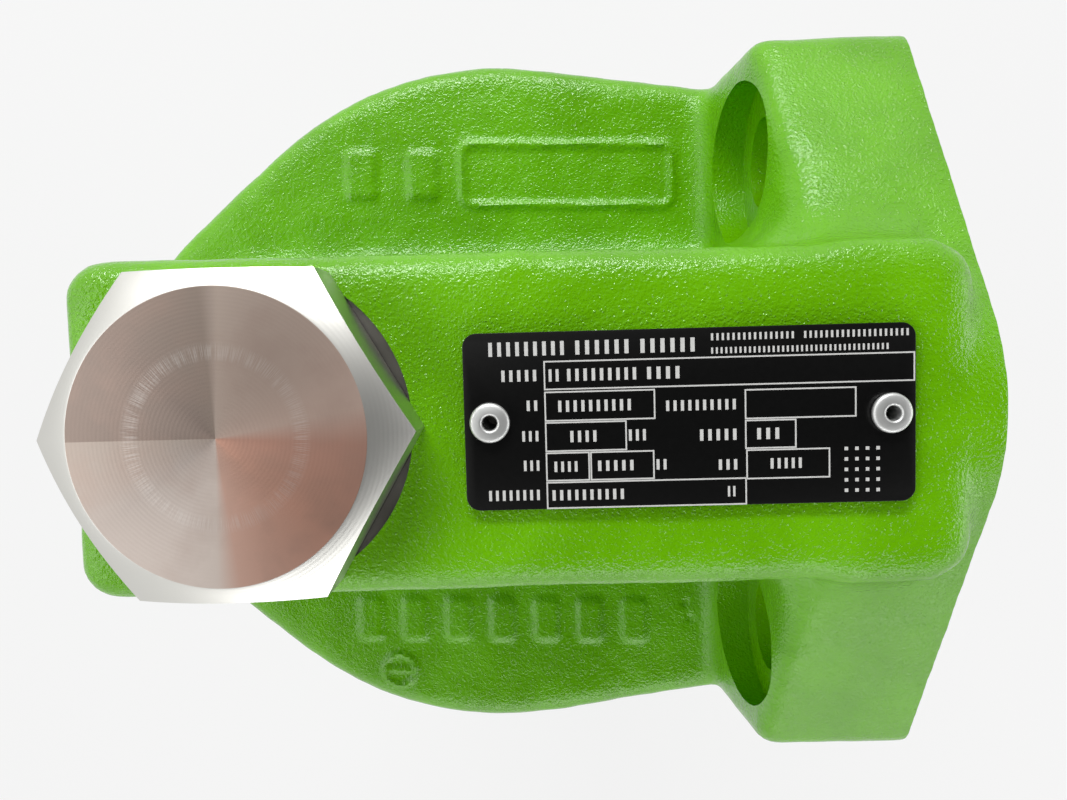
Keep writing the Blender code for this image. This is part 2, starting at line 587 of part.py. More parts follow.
def make_nameplate(black, aluminium):
    """Thin plate on the bar, held by two hollow blind rivets."""
    outline = rounded_rectangle(PLATE_X - PLATE_LENGTH / 2, PLATE_X + PLATE_LENGTH / 2, PLATE_WIDTH / 2,
                                PLATE_CORNER_RADIUS, PLATE_CORNER_RADIUS)
    outline = [(x, y + PLATE_Y) for x, y in outline]
    plate = add_piece("nameplate", upright_prism(outline, HEAD_TOP + FIT_GAP, PLATE_TOP_Z), black)
    bore, shank, head = RIVET_BORE_DIAMETER / 2, RIVET_SHANK_DIAMETER / 2, RIVET_HEAD_DIAMETER / 2
    under, over = PLATE_TOP_Z + FIT_GAP / 2, PLATE_TOP_Z + FIT_GAP / 2 + RIVET_HEAD_HEIGHT
    end = HEAD_TOP - RIVET_LENGTH
    dome = arc((head - RIVET_HEAD_HEIGHT, under), RIVET_HEAD_HEIGHT, 0, math.pi / 2, 4)
    for side, name in ((-1, "rivet_left"), (1, "rivet_right")):
        x = PLATE_X + side * RIVET_SPACING / 2
        cut(plate, f"{name}_hole", rod((x, PLATE_Y, HEAD_TOP - OVERCUT), (x, PLATE_Y, over),
                                       RIVET_SHANK_DIAMETER + 2 * FIT_GAP, RIVET_STEPS))
        profile = [(bore, end), (shank, end), (shank, under)] + dome
        profile += [(bore + RIVET_LIP, over), (bore, over - RIVET_LIP)]
        add_piece(name, turned(profile, x, RIVET_STEPS, PLATE_Y), aluminium, (x, PLATE_Y, under))


def make_bowl(paint, rubber, polymer):
    """Screwed bowl with its thread neck, seal groove, closed floor and wrench hexagon."""
    thread, pilot, outer = BOWL_THREAD_DIAMETER / 2, BOWL_PILOT_DIAMETER / 2, BOWL_DIAMETER / 2
    inner = outer - BOWL_WALL
    groove = pilot - BOWL_SEAL_GROOVE_DEPTH
    groove_width = BOWL_SEAL_SECTION + BACKUP_RING_WIDTH + 3 * FIT_GAP
    groove_top = BOWL_TOP_Z - (BOWL_PILOT_LENGTH - groove_width) / 2
    groove_bottom = groove_top - groove_width
    thread_end = PILOT_BOTTOM_Z - BOWL_THREAD_LENGTH
    corner = inner - BOWL_FLOOR_RADIUS
    profile = [(0, BOWL_FLOOR_Z), (corner, BOWL_FLOOR_Z)]
    profile += arc((corner, BOWL_FLOOR_Z + BOWL_FLOOR_RADIUS), BOWL_FLOOR_RADIUS, -math.pi / 2, 0, 4)[1:]
    profile += [(inner, BOWL_TOP_Z - EDGE_BREAK), (inner + EDGE_BREAK, BOWL_TOP_Z),
                (pilot - EDGE_BREAK, BOWL_TOP_Z), (pilot, BOWL_TOP_Z - EDGE_BREAK), (pilot, groove_top),
                (groove, groove_top),
                (groove, groove_bottom), (pilot, groove_bottom), (pilot, PILOT_BOTTOM_Z),
                (thread, PILOT_BOTTOM_Z - (thread - pilot)), (thread, thread_end),
                (outer, thread_end - (thread - outer))]
    profile += arc((outer - BOWL_ROUNDING, BOWL_BOTTOM_Z + BOWL_ROUNDING), BOWL_ROUNDING, 0, -math.pi / 2, 6)
    profile += [(0, BOWL_BOTTOM_Z)]
    bowl = add_piece("filter_bowl", turned(profile, BELL_AXIS_X), paint, (BELL_AXIS_X, 0, BOWL_TOP_Z))
    nut = upright_prism(hexagon(BOWL_HEXAGON, BELL_AXIS_X), HEXAGON_BOTTOM_Z, BOWL_BOTTOM_Z + BOWL_HEXAGON_ROOT)
    round_edges(nut, EDGE_BREAK, all_at(2, HEXAGON_BOTTOM_Z), 1)
    join(bowl, "hexagon", nut)
    drain_start, drain_end = HEXAGON_BOTTOM_Z - OVERCUT, BOWL_FLOOR_Z + OVERCUT
    cut(bowl, "drain", rod((BELL_AXIS_X, 0, drain_start), (BELL_AXIS_X, 0, drain_end),
                           DRAIN_THREAD_DIAMETER + 2 * FIT_GAP, SMALL_STEPS))
    ring = groove + BOWL_SEAL_SECTION / 2 + FIT_GAP
    ring_z = groove_top - FIT_GAP - BOWL_SEAL_SECTION / 2
    add_piece("bowl_o_ring", torus(ring, BOWL_SEAL_SECTION, ring_z, BELL_AXIS_X, BORE_STEPS), rubber,
              (BELL_AXIS_X, 0, ring_z))
    backup_top = ring_z - BOWL_SEAL_SECTION / 2 - FIT_GAP
    inside, outside = groove + FIT_GAP, pilot
    add_piece("bowl_backup_ring", turned([(inside, backup_top - BACKUP_RING_WIDTH), (outside, backup_top -
              BACKUP_RING_WIDTH), (outside, backup_top), (inside, backup_top)], BELL_AXIS_X, BORE_STEPS),
              polymer, (BELL_AXIS_X, 0, backup_top))


def make_drain(steel, copper):
    """Screw with a hexagon socket in the bowl's lowest point, on a flat seal ring."""
    shank, head = DRAIN_THREAD_DIAMETER / 2, DRAIN_HEAD_DIAMETER / 2
    seal_top = HEXAGON_BOTTOM_Z - FIT_GAP
    seal_bottom = seal_top - DRAIN_SEAL_THICKNESS
    under = seal_bottom - FIT_GAP
    base = under - DRAIN_HEAD_HEIGHT
    end = HEXAGON_BOTTOM_Z + DRAIN_LENGTH
    profile = [(0, end), (shank - EDGE_BREAK, end), (shank, end - EDGE_BREAK), (shank, under), (head, under),
               (head, base + EDGE_BREAK), (head - EDGE_BREAK, base), (0, base)]
    screw = add_piece("drain_screw", turned(profile, BELL_AXIS_X, SMALL_STEPS), steel, (BELL_AXIS_X, 0, under))
    cut(screw, "socket", upright_prism(hexagon(DRAIN_SOCKET, BELL_AXIS_X), base - OVERCUT,
                                       base + DRAIN_SOCKET_DEPTH))
    inside = shank + FIT_GAP
    add_piece("drain_seal_ring", turned([(inside, seal_bottom), (inside + DRAIN_SEAL_WIDTH, seal_bottom),
              (inside + DRAIN_SEAL_WIDTH, seal_top), (inside, seal_top)], BELL_AXIS_X, SMALL_STEPS), copper,
              (BELL_AXIS_X, 0, seal_top))


def make_port_seals(rubber):
    """Face seals of the two oil ports, each lying in its recess in the flange face."""
    section = PORT_SEAL_DEPTH - FIT_GAP
    ring = PORT_SEAL_DIAMETER / 2 - section / 2 - FIT_GAP
    for z, name in ((OUTLET_Z, "outlet_port_o_ring"), (INLET_Z, "inlet_port_o_ring")):
        shape = torus(ring, section, 0, 0)
        bmesh.ops.rotate(shape, verts=shape.verts, cent=(0, 0, 0), matrix=Matrix.Rotation(math.pi / 2, 3, "Y"))
        bmesh.ops.translate(shape, verts=shape.verts, vec=(-section / 2, 0, z))
        add_piece(name, shape, rubber, (-section / 2, 0, z))


def pleat_ring(outer, inner, bottom, top):
    """Star-shaped outline round a plain bore, extruded to the height of the pleats."""
    shape = bmesh.new()
    count = 2 * PLEAT_COUNT
    star, bore = [], []
    for i in range(count):
        turn = math.tau * i / count
        reach = outer if i % 2 else inner + PLEAT_BACKING
        star.append(shape.verts.new((BELL_AXIS_X + reach * math.cos(turn), reach * math.sin(turn), bottom)))
        bore.append(shape.verts.new((BELL_AXIS_X + inner * math.cos(turn), inner * math.sin(turn), bottom)))
    edges = [shape.edges.new((loop[i - 1], loop[i])) for loop in (star, bore) for i in range(count)]
    bmesh.ops.bridge_loops(shape, edges=edges)
    grown = bmesh.ops.extrude_face_region(shape, geom=shape.faces[:])
    moved = [item for item in grown["geom"] if isinstance(item, bmesh.types.BMVert)]
    bmesh.ops.translate(shape, verts=moved, vec=(0, 0, top - bottom))
    return shape


def make_element(metal, media, rubber):
    """Filter element: two caps, a perforated core and the pleated media between them."""
    spigot, outer = SPIGOT_DIAMETER / 2 + FIT_GAP, ELEMENT_DIAMETER / 2
    hub, hub_top = spigot + HUB_WALL, CEILING_Z - HUB_TOP_GAP
    groove = SPIGOT_DIAMETER / 2 + SPIGOT_SEAL_SECTION + 2 * FIT_GAP
    seal_z = (hub_top + SPIGOT_BOTTOM_Z) / 2
    half_groove = SPIGOT_SEAL_SECTION / 2 + FIT_GAP
    under = CAP_TOP_Z - CAP_THICKNESS
    add_piece("element_upper_cap", turned([
        (spigot, hub_top), (hub, hub_top), (hub, CAP_TOP_Z), (outer, CAP_TOP_Z), (outer, under - CAP_RIM_HEIGHT),
        (outer - CAP_RIM_WALL, under - CAP_RIM_HEIGHT), (outer - CAP_RIM_WALL, under), (spigot, under),
        (spigot, seal_z - half_groove), (groove, seal_z - half_groove), (groove, seal_z + half_groove),
        (spigot, seal_z + half_groove)], BELL_AXIS_X, SMALL_STEPS), metal)
    ring = SPIGOT_DIAMETER / 2 + FIT_GAP + SPIGOT_SEAL_SECTION / 2
    add_piece("spigot_o_ring", torus(ring, SPIGOT_SEAL_SECTION, seal_z, BELL_AXIS_X), rubber)
    floor = ELEMENT_BOTTOM_Z + CAP_THICKNESS
    foot, foot_inside = FOOT_DIAMETER / 2, FOOT_DIAMETER / 2 - FOOT_WALL
    foot_z = BOWL_FLOOR_Z + FIT_GAP
    add_piece("element_lower_cap", turned([
        (0, ELEMENT_BOTTOM_Z), (foot_inside, ELEMENT_BOTTOM_Z), (foot_inside, foot_z), (foot, foot_z),
        (foot, ELEMENT_BOTTOM_Z), (outer, ELEMENT_BOTTOM_Z), (outer, floor + CAP_RIM_HEIGHT),
        (outer - CAP_RIM_WALL, floor + CAP_RIM_HEIGHT), (outer - CAP_RIM_WALL, floor), (0, floor)],
        BELL_AXIS_X, SMALL_STEPS), metal)
    top, bottom = under - FIT_GAP, floor + FIT_GAP
    core, core_inside = CORE_DIAMETER / 2, CORE_DIAMETER / 2 - CORE_WALL
    tube = add_piece("element_core_tube", turned([(core_inside, bottom), (core, bottom), (core, top),
                                                  (core_inside, top)], BELL_AXIS_X, SMALL_STEPS), metal)
    cut(tube, "holes", core_holes(core, bottom, top))
    reach = outer - CAP_RIM_WALL - PLEAT_RIM_GAP
    add_piece("element_pleats", pleat_ring(reach, core + FIT_GAP, bottom, top), media)


def core_holes(core, bottom, top):
    """Radial drill bits for the perforated tube, one row above another."""
    shape = bmesh.new()
    for row in range(CORE_HOLE_ROWS):
        z = bottom + (top - bottom) * (row + 0.5) / CORE_HOLE_ROWS
        for i in range(CORE_HOLES_ROUND):
            turn = Matrix.Rotation(math.tau * (i + 0.5 * (row % 2)) / CORE_HOLES_ROUND, 4, "Z")
            place = (Matrix.Translation((BELL_AXIS_X, 0, z)) @ turn @ Matrix.Translation((core, 0, 0))
                     @ Matrix.Rotation(math.pi / 2, 4, "Y"))
            bmesh.ops.create_cone(shape, cap_ends=True, segments=SECTION_STEPS, radius1=CORE_HOLE_DIAMETER / 2,
                                  radius2=CORE_HOLE_DIAMETER / 2, depth=3 * CORE_WALL, matrix=place)
    return shape


def make_bypass(steel, spring_steel):
    """Bypass valve: a screwed seat ring, a poppet with its stem and the spring that holds it shut."""
    seat, flow = BYPASS_SEAT_DIAMETER / 2, BYPASS_FLOW_DIAMETER / 2
    flange_top = CEILING_Z - FIT_GAP
    flange_bottom = flange_top - BYPASS_SEAT_FLANGE
    rim = seat + BYPASS_SEAT_RIM
    add_piece("bypass_seat", turned([
        (flow, flange_bottom), (rim, flange_bottom), (rim, flange_top), (seat, flange_top),
        (seat, BYPASS_SEAT_TOP_Z), (flow, BYPASS_SEAT_TOP_Z)], BYPASS_AXIS_X, SMALL_STEPS), steel)
    under = BYPASS_SEAT_TOP_Z + FIT_GAP
    over = under + POPPET_THICKNESS
    disc, stem, pilot = POPPET_DIAMETER / 2, POPPET_STEM_DIAMETER / 2, POPPET_PILOT_DIAMETER / 2
    add_piece("bypass_poppet", turned([
        (0, under - POPPET_PILOT_LENGTH), (pilot, under - POPPET_PILOT_LENGTH), (pilot, under), (disc, under),
        (disc, over), (stem, over), (stem, over + POPPET_STEM_LENGTH), (0, over + POPPET_STEM_LENGTH)],
        BYPASS_AXIS_X, RIVET_STEPS), steel, (BYPASS_AXIS_X, 0, under))
    top = OUTLET_Z + PORT_DIAMETER / 2 + SPRING_POCKET_DEPTH - FIT_GAP
    add_spring("bypass_spring", over + FIT_GAP, top, spring_steel)


def add_spring(name, bottom, top, finish):
    """Compression spring: a round wire along a helix whose end turns lie closer together."""
    radius = (SPRING_DIAMETER - SPRING_WIRE) / 2
    low, high = bottom + SPRING_WIRE / 2, top - SPRING_WIRE / 2
    count = int(SPRING_TURNS * WIRE_STEPS)
    curve = bpy.data.curves.new(name, "CURVE")
    curve.dimensions = "3D"
    curve.bevel_depth = SPRING_WIRE / 2
    curve.bevel_resolution = 1
    curve.use_fill_caps = True
    wire = curve.splines.new("POLY")
    wire.points.add(count)
    for i in range(count + 1):
        share = i / count
        turn = math.tau * i / WIRE_STEPS
        rise = share - math.sin(math.tau * share) / math.tau * 0.9
        wire.points[i].co = (radius * math.cos(turn), radius * math.sin(turn), low + (high - low) * rise, 1)
    curve.materials.append(finish)
    spring = bpy.data.objects.new(name, curve)
    spring.location = (BYPASS_AXIS_X, 0, 0)
    bpy.context.collection.objects.link(spring)


def main():
    clear_scene()
    paint = material("green_gloss_paint", (0.12, 0.40, 0.002), 0.3, 0)
    steel = material("turned_stainless_steel", (0.60, 0.57, 0.54), 0.3, 1)
    plain_steel = material("plated_steel", (0.55, 0.55, 0.56), 0.4, 1)
    aluminium = material("bright_aluminium", (0.86, 0.87, 0.88), 0.3, 1)
    black = material("black_plate_lacquer", (0.008, 0.008, 0.010), 0.4, 0)
    rubber = material("black_rubber", (0.012, 0.012, 0.012), 0.7, 0)
    polymer = material("white_backup_polymer", (0.75, 0.74, 0.70), 0.5, 0)
    copper = material("seal_copper", (0.72, 0.37, 0.22), 0.4, 1)
    media = material("glass_fibre_media", (0.82, 0.80, 0.72), 0.9, 0)
    make_head(paint)
    make_plug(steel, rubber)
    make_nameplate(black, aluminium)
    make_bowl(paint, rubber, polymer)
    make_drain(plain_steel, copper)
    make_port_seals(rubber)
    make_element(plain_steel, media, rubber)
    make_bypass(plain_steel, plain_steel)


main()
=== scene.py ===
"""Looks of a flange-mounted hydraulic filter housing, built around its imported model.

Metres, +Z up. The origin lies on the machined flange face, half-way between its two oil ports.
+X points out of that face, and the bowl hangs along -Z. The camera looks down on the head.
"""
import math

import bmesh
import bpy
from mathutils import Matrix, Vector, noise


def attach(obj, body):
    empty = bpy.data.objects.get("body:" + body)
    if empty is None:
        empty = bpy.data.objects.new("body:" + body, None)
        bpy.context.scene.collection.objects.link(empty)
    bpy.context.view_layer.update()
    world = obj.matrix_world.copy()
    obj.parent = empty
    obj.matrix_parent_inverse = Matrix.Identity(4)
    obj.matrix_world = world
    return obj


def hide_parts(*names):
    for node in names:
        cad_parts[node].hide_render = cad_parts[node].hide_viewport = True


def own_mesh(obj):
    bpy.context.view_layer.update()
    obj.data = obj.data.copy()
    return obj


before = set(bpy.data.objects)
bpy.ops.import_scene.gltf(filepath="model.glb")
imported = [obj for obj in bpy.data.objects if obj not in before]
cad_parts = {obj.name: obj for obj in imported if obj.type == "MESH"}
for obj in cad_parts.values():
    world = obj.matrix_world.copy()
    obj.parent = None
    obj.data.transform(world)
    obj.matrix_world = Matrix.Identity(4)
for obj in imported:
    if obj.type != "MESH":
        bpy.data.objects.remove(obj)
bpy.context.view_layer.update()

# Head, as in the CAD model
HEAD_TOP = 0.051
BAR_WIDTH = 0.0404
BAR_TAPER = 0.0012
BAR_LENGTH = 0.110
BAR_END_SETBACK = 0.0027
BAR_CORNER_RADIUS = 0.0045
BAR_EDGE_RADIUS = 0.0036
BAR_FOOT_RADIUS = 0.008
FLANGE_WIDTH = 0.106
FLANGE_THICKNESS = 0.0244
FLANGE_DRAFT = math.radians(6)
FLANGE_EDGE_RADIUS = 0.0024
FLANGE_CORNER_RADIUS = 0.004
FLANGE_FOOT_RADIUS = 0.012
EAR_FOOT_RADIUS = 0.0035
ROOF_ANGLE = math.radians(30)
GABLE_RADIUS = 0.022
ROOF_BLEND_RADIUS = 0.013
BELL_AXIS_X = -0.0615
BELL_DIAMETER = 0.116
NOSE_DIAMETER = 0.0814
BELL_TOP_Z = 0.0024
BELL_BOTTOM_Z = -0.0476
BELL_EDGE_RADIUS = 0.0035
CEILING_Z = -0.0070
ROOF_APEX_Z = HEAD_TOP + GABLE_RADIUS * (1 / math.cos(ROOF_ANGLE) - 1)
SHOULDER_Z = ROOF_APEX_Z - FLANGE_WIDTH / 2 * math.tan(ROOF_ANGLE)
FLANGE_BOTTOM_Z = -0.0765

# How far shapes of the casting run past or into each other before the remesh joins them
FLANGE_PAST_FACE = 0.0011
BELL_INTO_FLANGE = 0.005
BELL_INSIDE_EDGE = 0.0005
INTO_FLANGE = 0.004
BLEND_SINK = 0.002
EAR_BLEND_OVERLAP = 0.001

# Machined features of the head
SCREW_Y = 0.0362
UPPER_SCREW_Z = 0.01715
LOWER_SCREW_Z = -0.0610
SCREW_HOLE_DIAMETER = 0.0135
COUNTERBORE_DIAMETER = 0.024
COUNTERBORE_START_X = -0.036
CLAMP_THICKNESS = 0.019
OUTLET_Z = 0.016
INLET_END_X = -0.0273
PORT_DIAMETER = 0.016
PORT_SEAL_DIAMETER = 0.026
PORT_SEAL_DEPTH = 0.0022
SPOT_FACE_DIAMETER = 0.0388
SPOT_FACE_Z = 0.0507
BYPASS_X = -0.038
SENSING_DIAMETER = 0.003
RIVET_HOLE_DIAMETER = 0.0032
RIVET_HOLE_DEPTH = 0.0063
BOWL_CLEARANCE_RADIUS = 0.042
OVERCUT = 0.002
# Radius and height from the bowl's thread past its seal land, the ceiling and the spigot to the riser's end
HEAD_BORE = [(0.041, -0.0329), (0.0385, -0.0304), (0.0385, CEILING_Z), (0.0137, CEILING_Z),
             (0.0127, CEILING_Z - 0.001), (0.0127, -0.029), (0.0117, -0.030), (0.009, -0.030),
             (0.009, OUTLET_Z), (0, OUTLET_Z)]
# Radius and height from the plug's countersink down to the drill point
INDICATOR_PORT = [(0.01684, SPOT_FACE_Z), (0.01365, 0.0475), (0.01365, 0.0267), (0.007, 0.0267),
                  (0.007, 0.0137), (0, 0.0095)]
# Bottom, top and diameter of each step
BYPASS_BORES = [(-0.009, 0.0003, 0.017), (-0.001, 0.016, 0.0132), (0.014, 0.034, 0.0108)]
# Start and end of each hole
SENSING_HOLES = [((-0.0972, 0, -0.009), (-0.0972, 0, 0.0277)), ((-0.083, 0, 0.016), (-0.0685, 0, 0.016))]

# Cast marks on the bell's top, kept blank: left, right, low, high and corner radius
MARK_FRAME = (-0.0666, -0.0306, 0.0333, 0.0436, 0.0018)
MARK_PADS = [(x, x + 0.0062, 0.0337, 0.0430, 0.0016) for x in (-0.0872, -0.0766)]
MARK_PADS += [(-0.0880 + 0.0078 * i, -0.0826 + 0.0078 * i, -0.0440, -0.0352, 0.0016) for i in range(7)]
MARK_RIDGE = 0.0011
MARK_HEIGHT = 0.00055
MARK_TILT = 0.03
MARK_TILT_X = -0.0487
MARK_LEVEL = 0.0008
# Where the bell's top is meshed more finely for the marks: left, right and distance from the middle line
MARK_AREA = (-0.092, -0.027, 0.029)
MARK_AREA_LEVEL = 0.001
STAMP = (-0.0805, -0.0490, 0.0028)
STAMP_LINE = 0.0006
DENTS = [(-0.0294, -0.0365), (-0.0286, -0.0393)]
DENT_RADIUS = 0.0009
# A drop of iron left on the bar's far top edge
PIMPLE = Vector((-0.0565, 0.0190, 0.0500))
PIMPLE_RADIUS = 0.0026
PIMPLE_HEIGHT = 0.0005
# The hollow where the roof runs into the bar, which is smoothed more
COVE = Vector((-0.022, 0.0225, 0.037))
COVE_RADIUS = 0.013
COVE_BELOW_TOP = 0.003
COVE_SMOOTHING = 20
# Unevenness of the cast surface: waves per metre of the noise, and height
CAST_WAVES = [(90, 0.00016), (330, 0.00007)]

# Screw plug
PLUG_AXIS_X = -0.088
PLUG_ACROSS_FLATS = 0.036
PLUG_HEAD_HEIGHT = 0.0091
PLUG_FACE_DIAMETER = 0.0321
PLUG_CHAMFER = math.radians(30)
PLUG_THREAD_DIAMETER = 0.0267
PLUG_THREAD_DEPTH = 0.0012
PLUG_THREAD_TURNS = 7.6
PLUG_SHANK_LENGTH = 0.022
PLUG_UNDERCUT_DIAMETER = 0.024
PLUG_UNDERCUT_LENGTH = 0.0037
THREAD_PITCH = 0.002

# Nameplate and rivets
PLATE_LENGTH = 0.0514
PLATE_WIDTH = 0.0204
PLATE_CORNER_RADIUS = 0.0016
PLATE_X = -0.0368
PLATE_Y = 0.0003
PLATE_BOTTOM_Z = 0.0513
PLATE_TOP_Z = 0.0521
RIVET_SPACING = 0.0455
RIVET_HEAD_RADIUS = 0.0023
RIVET_SHANK_RADIUS = 0.0013
RIVET_BORE_RADIUS = 0.00085
RIVET_ROLL_RADIUS = 0.00045
RIVET_LIP_RADIUS = 0.00035
RIVET_LIFT = 0.00015
RIVET_LENGTH = 0.006
# Print on the plate, in millimetres from its lower left corner: frames, and rows of blank strokes
FRAME_LINE = 0.17
PLATE_FRAMES = [(9.4, 51.1, 13.9, 16.9), (9.4, 21.7, 10.3, 13.4), (32.2, 44.5, 10.0, 13.1),
                (9.4, 18.4, 6.8, 9.9), (32.2, 37.7, 6.6, 9.6), (9.4, 14.1, 3.4, 6.4),
                (14.5, 21.5, 3.4, 6.4), (32.3, 41.5, 3.1, 6.2), (9.4, 32.0, 0.2, 3.0)]
PLATE_ROWS = [(3.0, 12.2, 17.6, 19.4), (12.9, 19.6, 17.6, 19.4), (20.3, 27.1, 17.6, 19.4),
              (28.3, 38.0, 18.8, 19.8), (38.8, 50.9, 18.8, 19.8), (28.3, 48.6, 17.3, 18.2),
              (4.4, 8.9, 14.7, 16.2), (7.2, 8.9, 11.3, 12.7), (6.6, 8.9, 7.8, 9.2),
              (6.7, 8.9, 4.4, 5.8), (2.6, 8.9, 1.0, 2.4), (9.8, 11.4, 14.6, 16.2),
              (11.9, 20.3, 14.6, 16.2), (21.0, 25.3, 14.6, 16.2), (10.8, 19.6, 11.1, 12.6),
              (12.1, 15.6, 7.6, 9.1), (18.8, 21.2, 7.6, 9.1), (10.2, 13.3, 4.2, 5.6),
              (15.2, 19.8, 4.2, 5.6), (21.9, 23.5, 4.2, 5.6), (9.9, 18.6, 0.9, 2.3),
              (30.0, 31.2, 0.9, 2.3), (23.1, 31.5, 10.9, 12.3), (26.9, 31.6, 7.4, 8.9),
              (29.0, 31.6, 4.0, 5.4), (33.4, 36.5, 7.4, 8.9), (34.9, 38.9, 4.0, 5.4)]
STROKE_SPACING = 0.6
STROKE_FILL = 0.42
STROKE_MARGIN = 0.1
DOT_COLUMNS = (43.3, 44.5, 45.7, 46.9)
DOT_LINES = (1.2, 2.4, 3.6, 4.8, 6.0)
DOT_SIZE = 0.4
PRINT_SINK = 0.00005
PRINT_HEIGHT = 0.00003

# Bowl, with its wrench hexagon and the hole for the drain screw
BOWL_TOP_Z = -0.0246
BOWL_BOTTOM_Z = -0.1781
BOWL_FLOOR_Z = -0.1661
BOWL_OUTER_RADIUS = 0.040
BOWL_INNER_RADIUS = 0.0325
BOWL_PILOT_RADIUS = 0.0382
BOWL_PILOT_BOTTOM_Z = -0.0332
BOWL_THREAD_RADIUS = 0.0407
BOWL_THREAD_DEPTH = 0.0013
BOWL_THREAD_LENGTH = 0.014
BOWL_THREAD_TURNS = 6.0
BOWL_GROOVE_RADIUS = 0.0346
BOWL_GROOVE_TOP_Z = -0.0262
BOWL_GROOVE_BOTTOM_Z = -0.0316
BOWL_FLOOR_RADIUS = 0.004
BOWL_BOTTOM_RADIUS = 0.010
BOWL_ACROSS_FLATS = 0.036
HEXAGON_BOTTOM_Z = -0.1901
DRAIN_HOLE_DIAMETER = 0.0132

# Play round the face seals
SEAL_PLAY = 0.0003

# Facets, remeshing and the angle past which an edge stays sharp
ROUND_STEPS = 96
CAST_VOXEL = 0.00105
CAST_SMOOTHING = 5
SHARP_ANGLE = math.radians(35)
HEAD_SHARP_ANGLE = math.radians(38)

# Painted reflection on the plug's faced end, as tones by the share of a turn from -X over -Y, and its ring of
# scratches
PAINTED_REFLECTION_WEDGES = [(0.0, "a4988f"), (0.1, "b0a59e"), (0.21, "d0c4bc"), (0.245, "d8cbc2"), (0.27, "d6b1a1"),
          (0.38, "dcab97"), (0.49, "bc9282"), (0.53, "c1aa9e"), (0.74, "baaa9f"), (0.76, "988a80"),
          (0.87, "8a7c74")]
LAST_PAINTED_REFLECTION_WEDGE = 0.985
TICK_RADIUS = 0.0092
TICKS_PER_TURN = 520

# Light: the room's walls and ceiling, the floor, and the lamps with place, target, size and watts
WALL_LIGHT = 0.88
CEILING_LIGHT = 0.04
DARK_DIRECTION = (0.29, -0.14, 0.947)
FLOOR_Z = -0.235
FLOOR_SIZE = 3
FLOOR_GLOW = 0.8
LAMPS = {
    "window_far": ((-0.16, 0.64, 0.44), (-0.05, 0, 0.02), (0.5, 0.12), 4.6),
    "softbox_near": ((0.10, -0.70, 0.36), (-0.05, 0, 0.02), (0.9, 0.3), 2.5),
    "softbox_right": ((0.72, -0.10, 0.22), (-0.05, 0, 0.02), (0.6, 0.3), 1.6),
    "softbox_left": ((-0.60, -0.05, 0.46), (-0.06, 0, 0.02), (0.6, 0.3), 1.2),
}

# The camera of the photograph, from the fit of the plug, the plate and the outline
CAMERA_PLACE = (-0.05289, 0.00837, 0.14489)
CAMERA_ROWS = ((0.99952, -0.02669, -0.01572), (0.02569, 0.99782, -0.06085), (0.01731, 0.06041, 0.99802))
CAMERA_LENS = 27.45
CAMERA_SENSOR = 36


# Shapes

def arc(centre, radius, start, end, steps):
    """Points along an arc, from one angle to another, in radians."""
    turns = [start + (end - start) * i / steps for i in range(steps + 1)]
    return [(centre[0] + radius * math.cos(t), centre[1] + radius * math.sin(t)) for t in turns]


def turned(profile, axis_x=0.0, steps=ROUND_STEPS, axis_y=0.0):
    """Spin a closed outline of (radius, z) points round a vertical axis."""
    shape = bmesh.new()
    corners = [shape.verts.new((radius, 0, z)) for radius, z in profile]
    for i, corner in enumerate(corners):
        following = corners[(i + 1) % len(corners)]
        if corner.co.x > 0 or following.co.x > 0:
            shape.edges.new((corner, following))
    bmesh.ops.spin(shape, geom=shape.verts[:] + shape.edges[:], cent=(0, 0, 0), axis=(0, 0, 1),
                   angle=math.tau, steps=steps, use_merge=True)
    bmesh.ops.remove_doubles(shape, verts=shape.verts, dist=1e-6)
    bmesh.ops.translate(shape, verts=shape.verts, vec=(axis_x, axis_y, 0))
    bmesh.ops.recalc_face_normals(shape, faces=shape.faces)
    return shape


def extruded(points, lift):
    """A closed prism whose first end runs through the points."""
    shape = bmesh.new()
    face = shape.faces.new([shape.verts.new(point) for point in points])
    grown = bmesh.ops.extrude_face_region(shape, geom=[face])
    moved = [item for item in grown["geom"] if isinstance(item, bmesh.types.BMVert)]
    bmesh.ops.translate(shape, verts=moved, vec=lift)
    bmesh.ops.recalc_face_normals(shape, faces=shape.faces)
    return shape


def upright_prism(outline, bottom, top):
    return extruded([(x, y, bottom) for x, y in outline], (0, 0, top - bottom))


def rod(start, end, diameter, steps=48):
    """A round bar between two points, mostly used to drill with."""
    run = Vector(end) - Vector(start)
    shape = bmesh.new()
    turn = run.to_track_quat("Z", "Y").to_matrix().to_4x4()
    bmesh.ops.create_cone(shape, cap_ends=True, segments=steps, radius1=diameter / 2, radius2=diameter / 2,
                          depth=run.length, matrix=Matrix.Translation((Vector(start) + Vector(end)) / 2) @ turn)
    return shape


def round_edges(shape, radius, chosen, steps=4):
    """Round the edges that the test picks."""
    edges = [edge for edge in shape.edges if chosen(edge)]
    bmesh.ops.bevel(shape, geom=edges, offset=radius, offset_type="OFFSET", affect="EDGES", segments=steps,
                    profile=0.5, material=-1, clamp_overlap=True)


def relax(shape, verts, passes):
    """Smooth some corners of a mesh, pass after pass."""
    for _ in range(passes):
        bmesh.ops.smooth_vert(shape, verts=verts, factor=0.5, use_axis_x=True, use_axis_y=True, use_axis_z=True)


def all_at(axis, value):
    """A test for edges that lie wholly at one coordinate."""
    return lambda edge: all(abs(vert.co[axis] - value) < 1e-6 for vert in edge.verts)


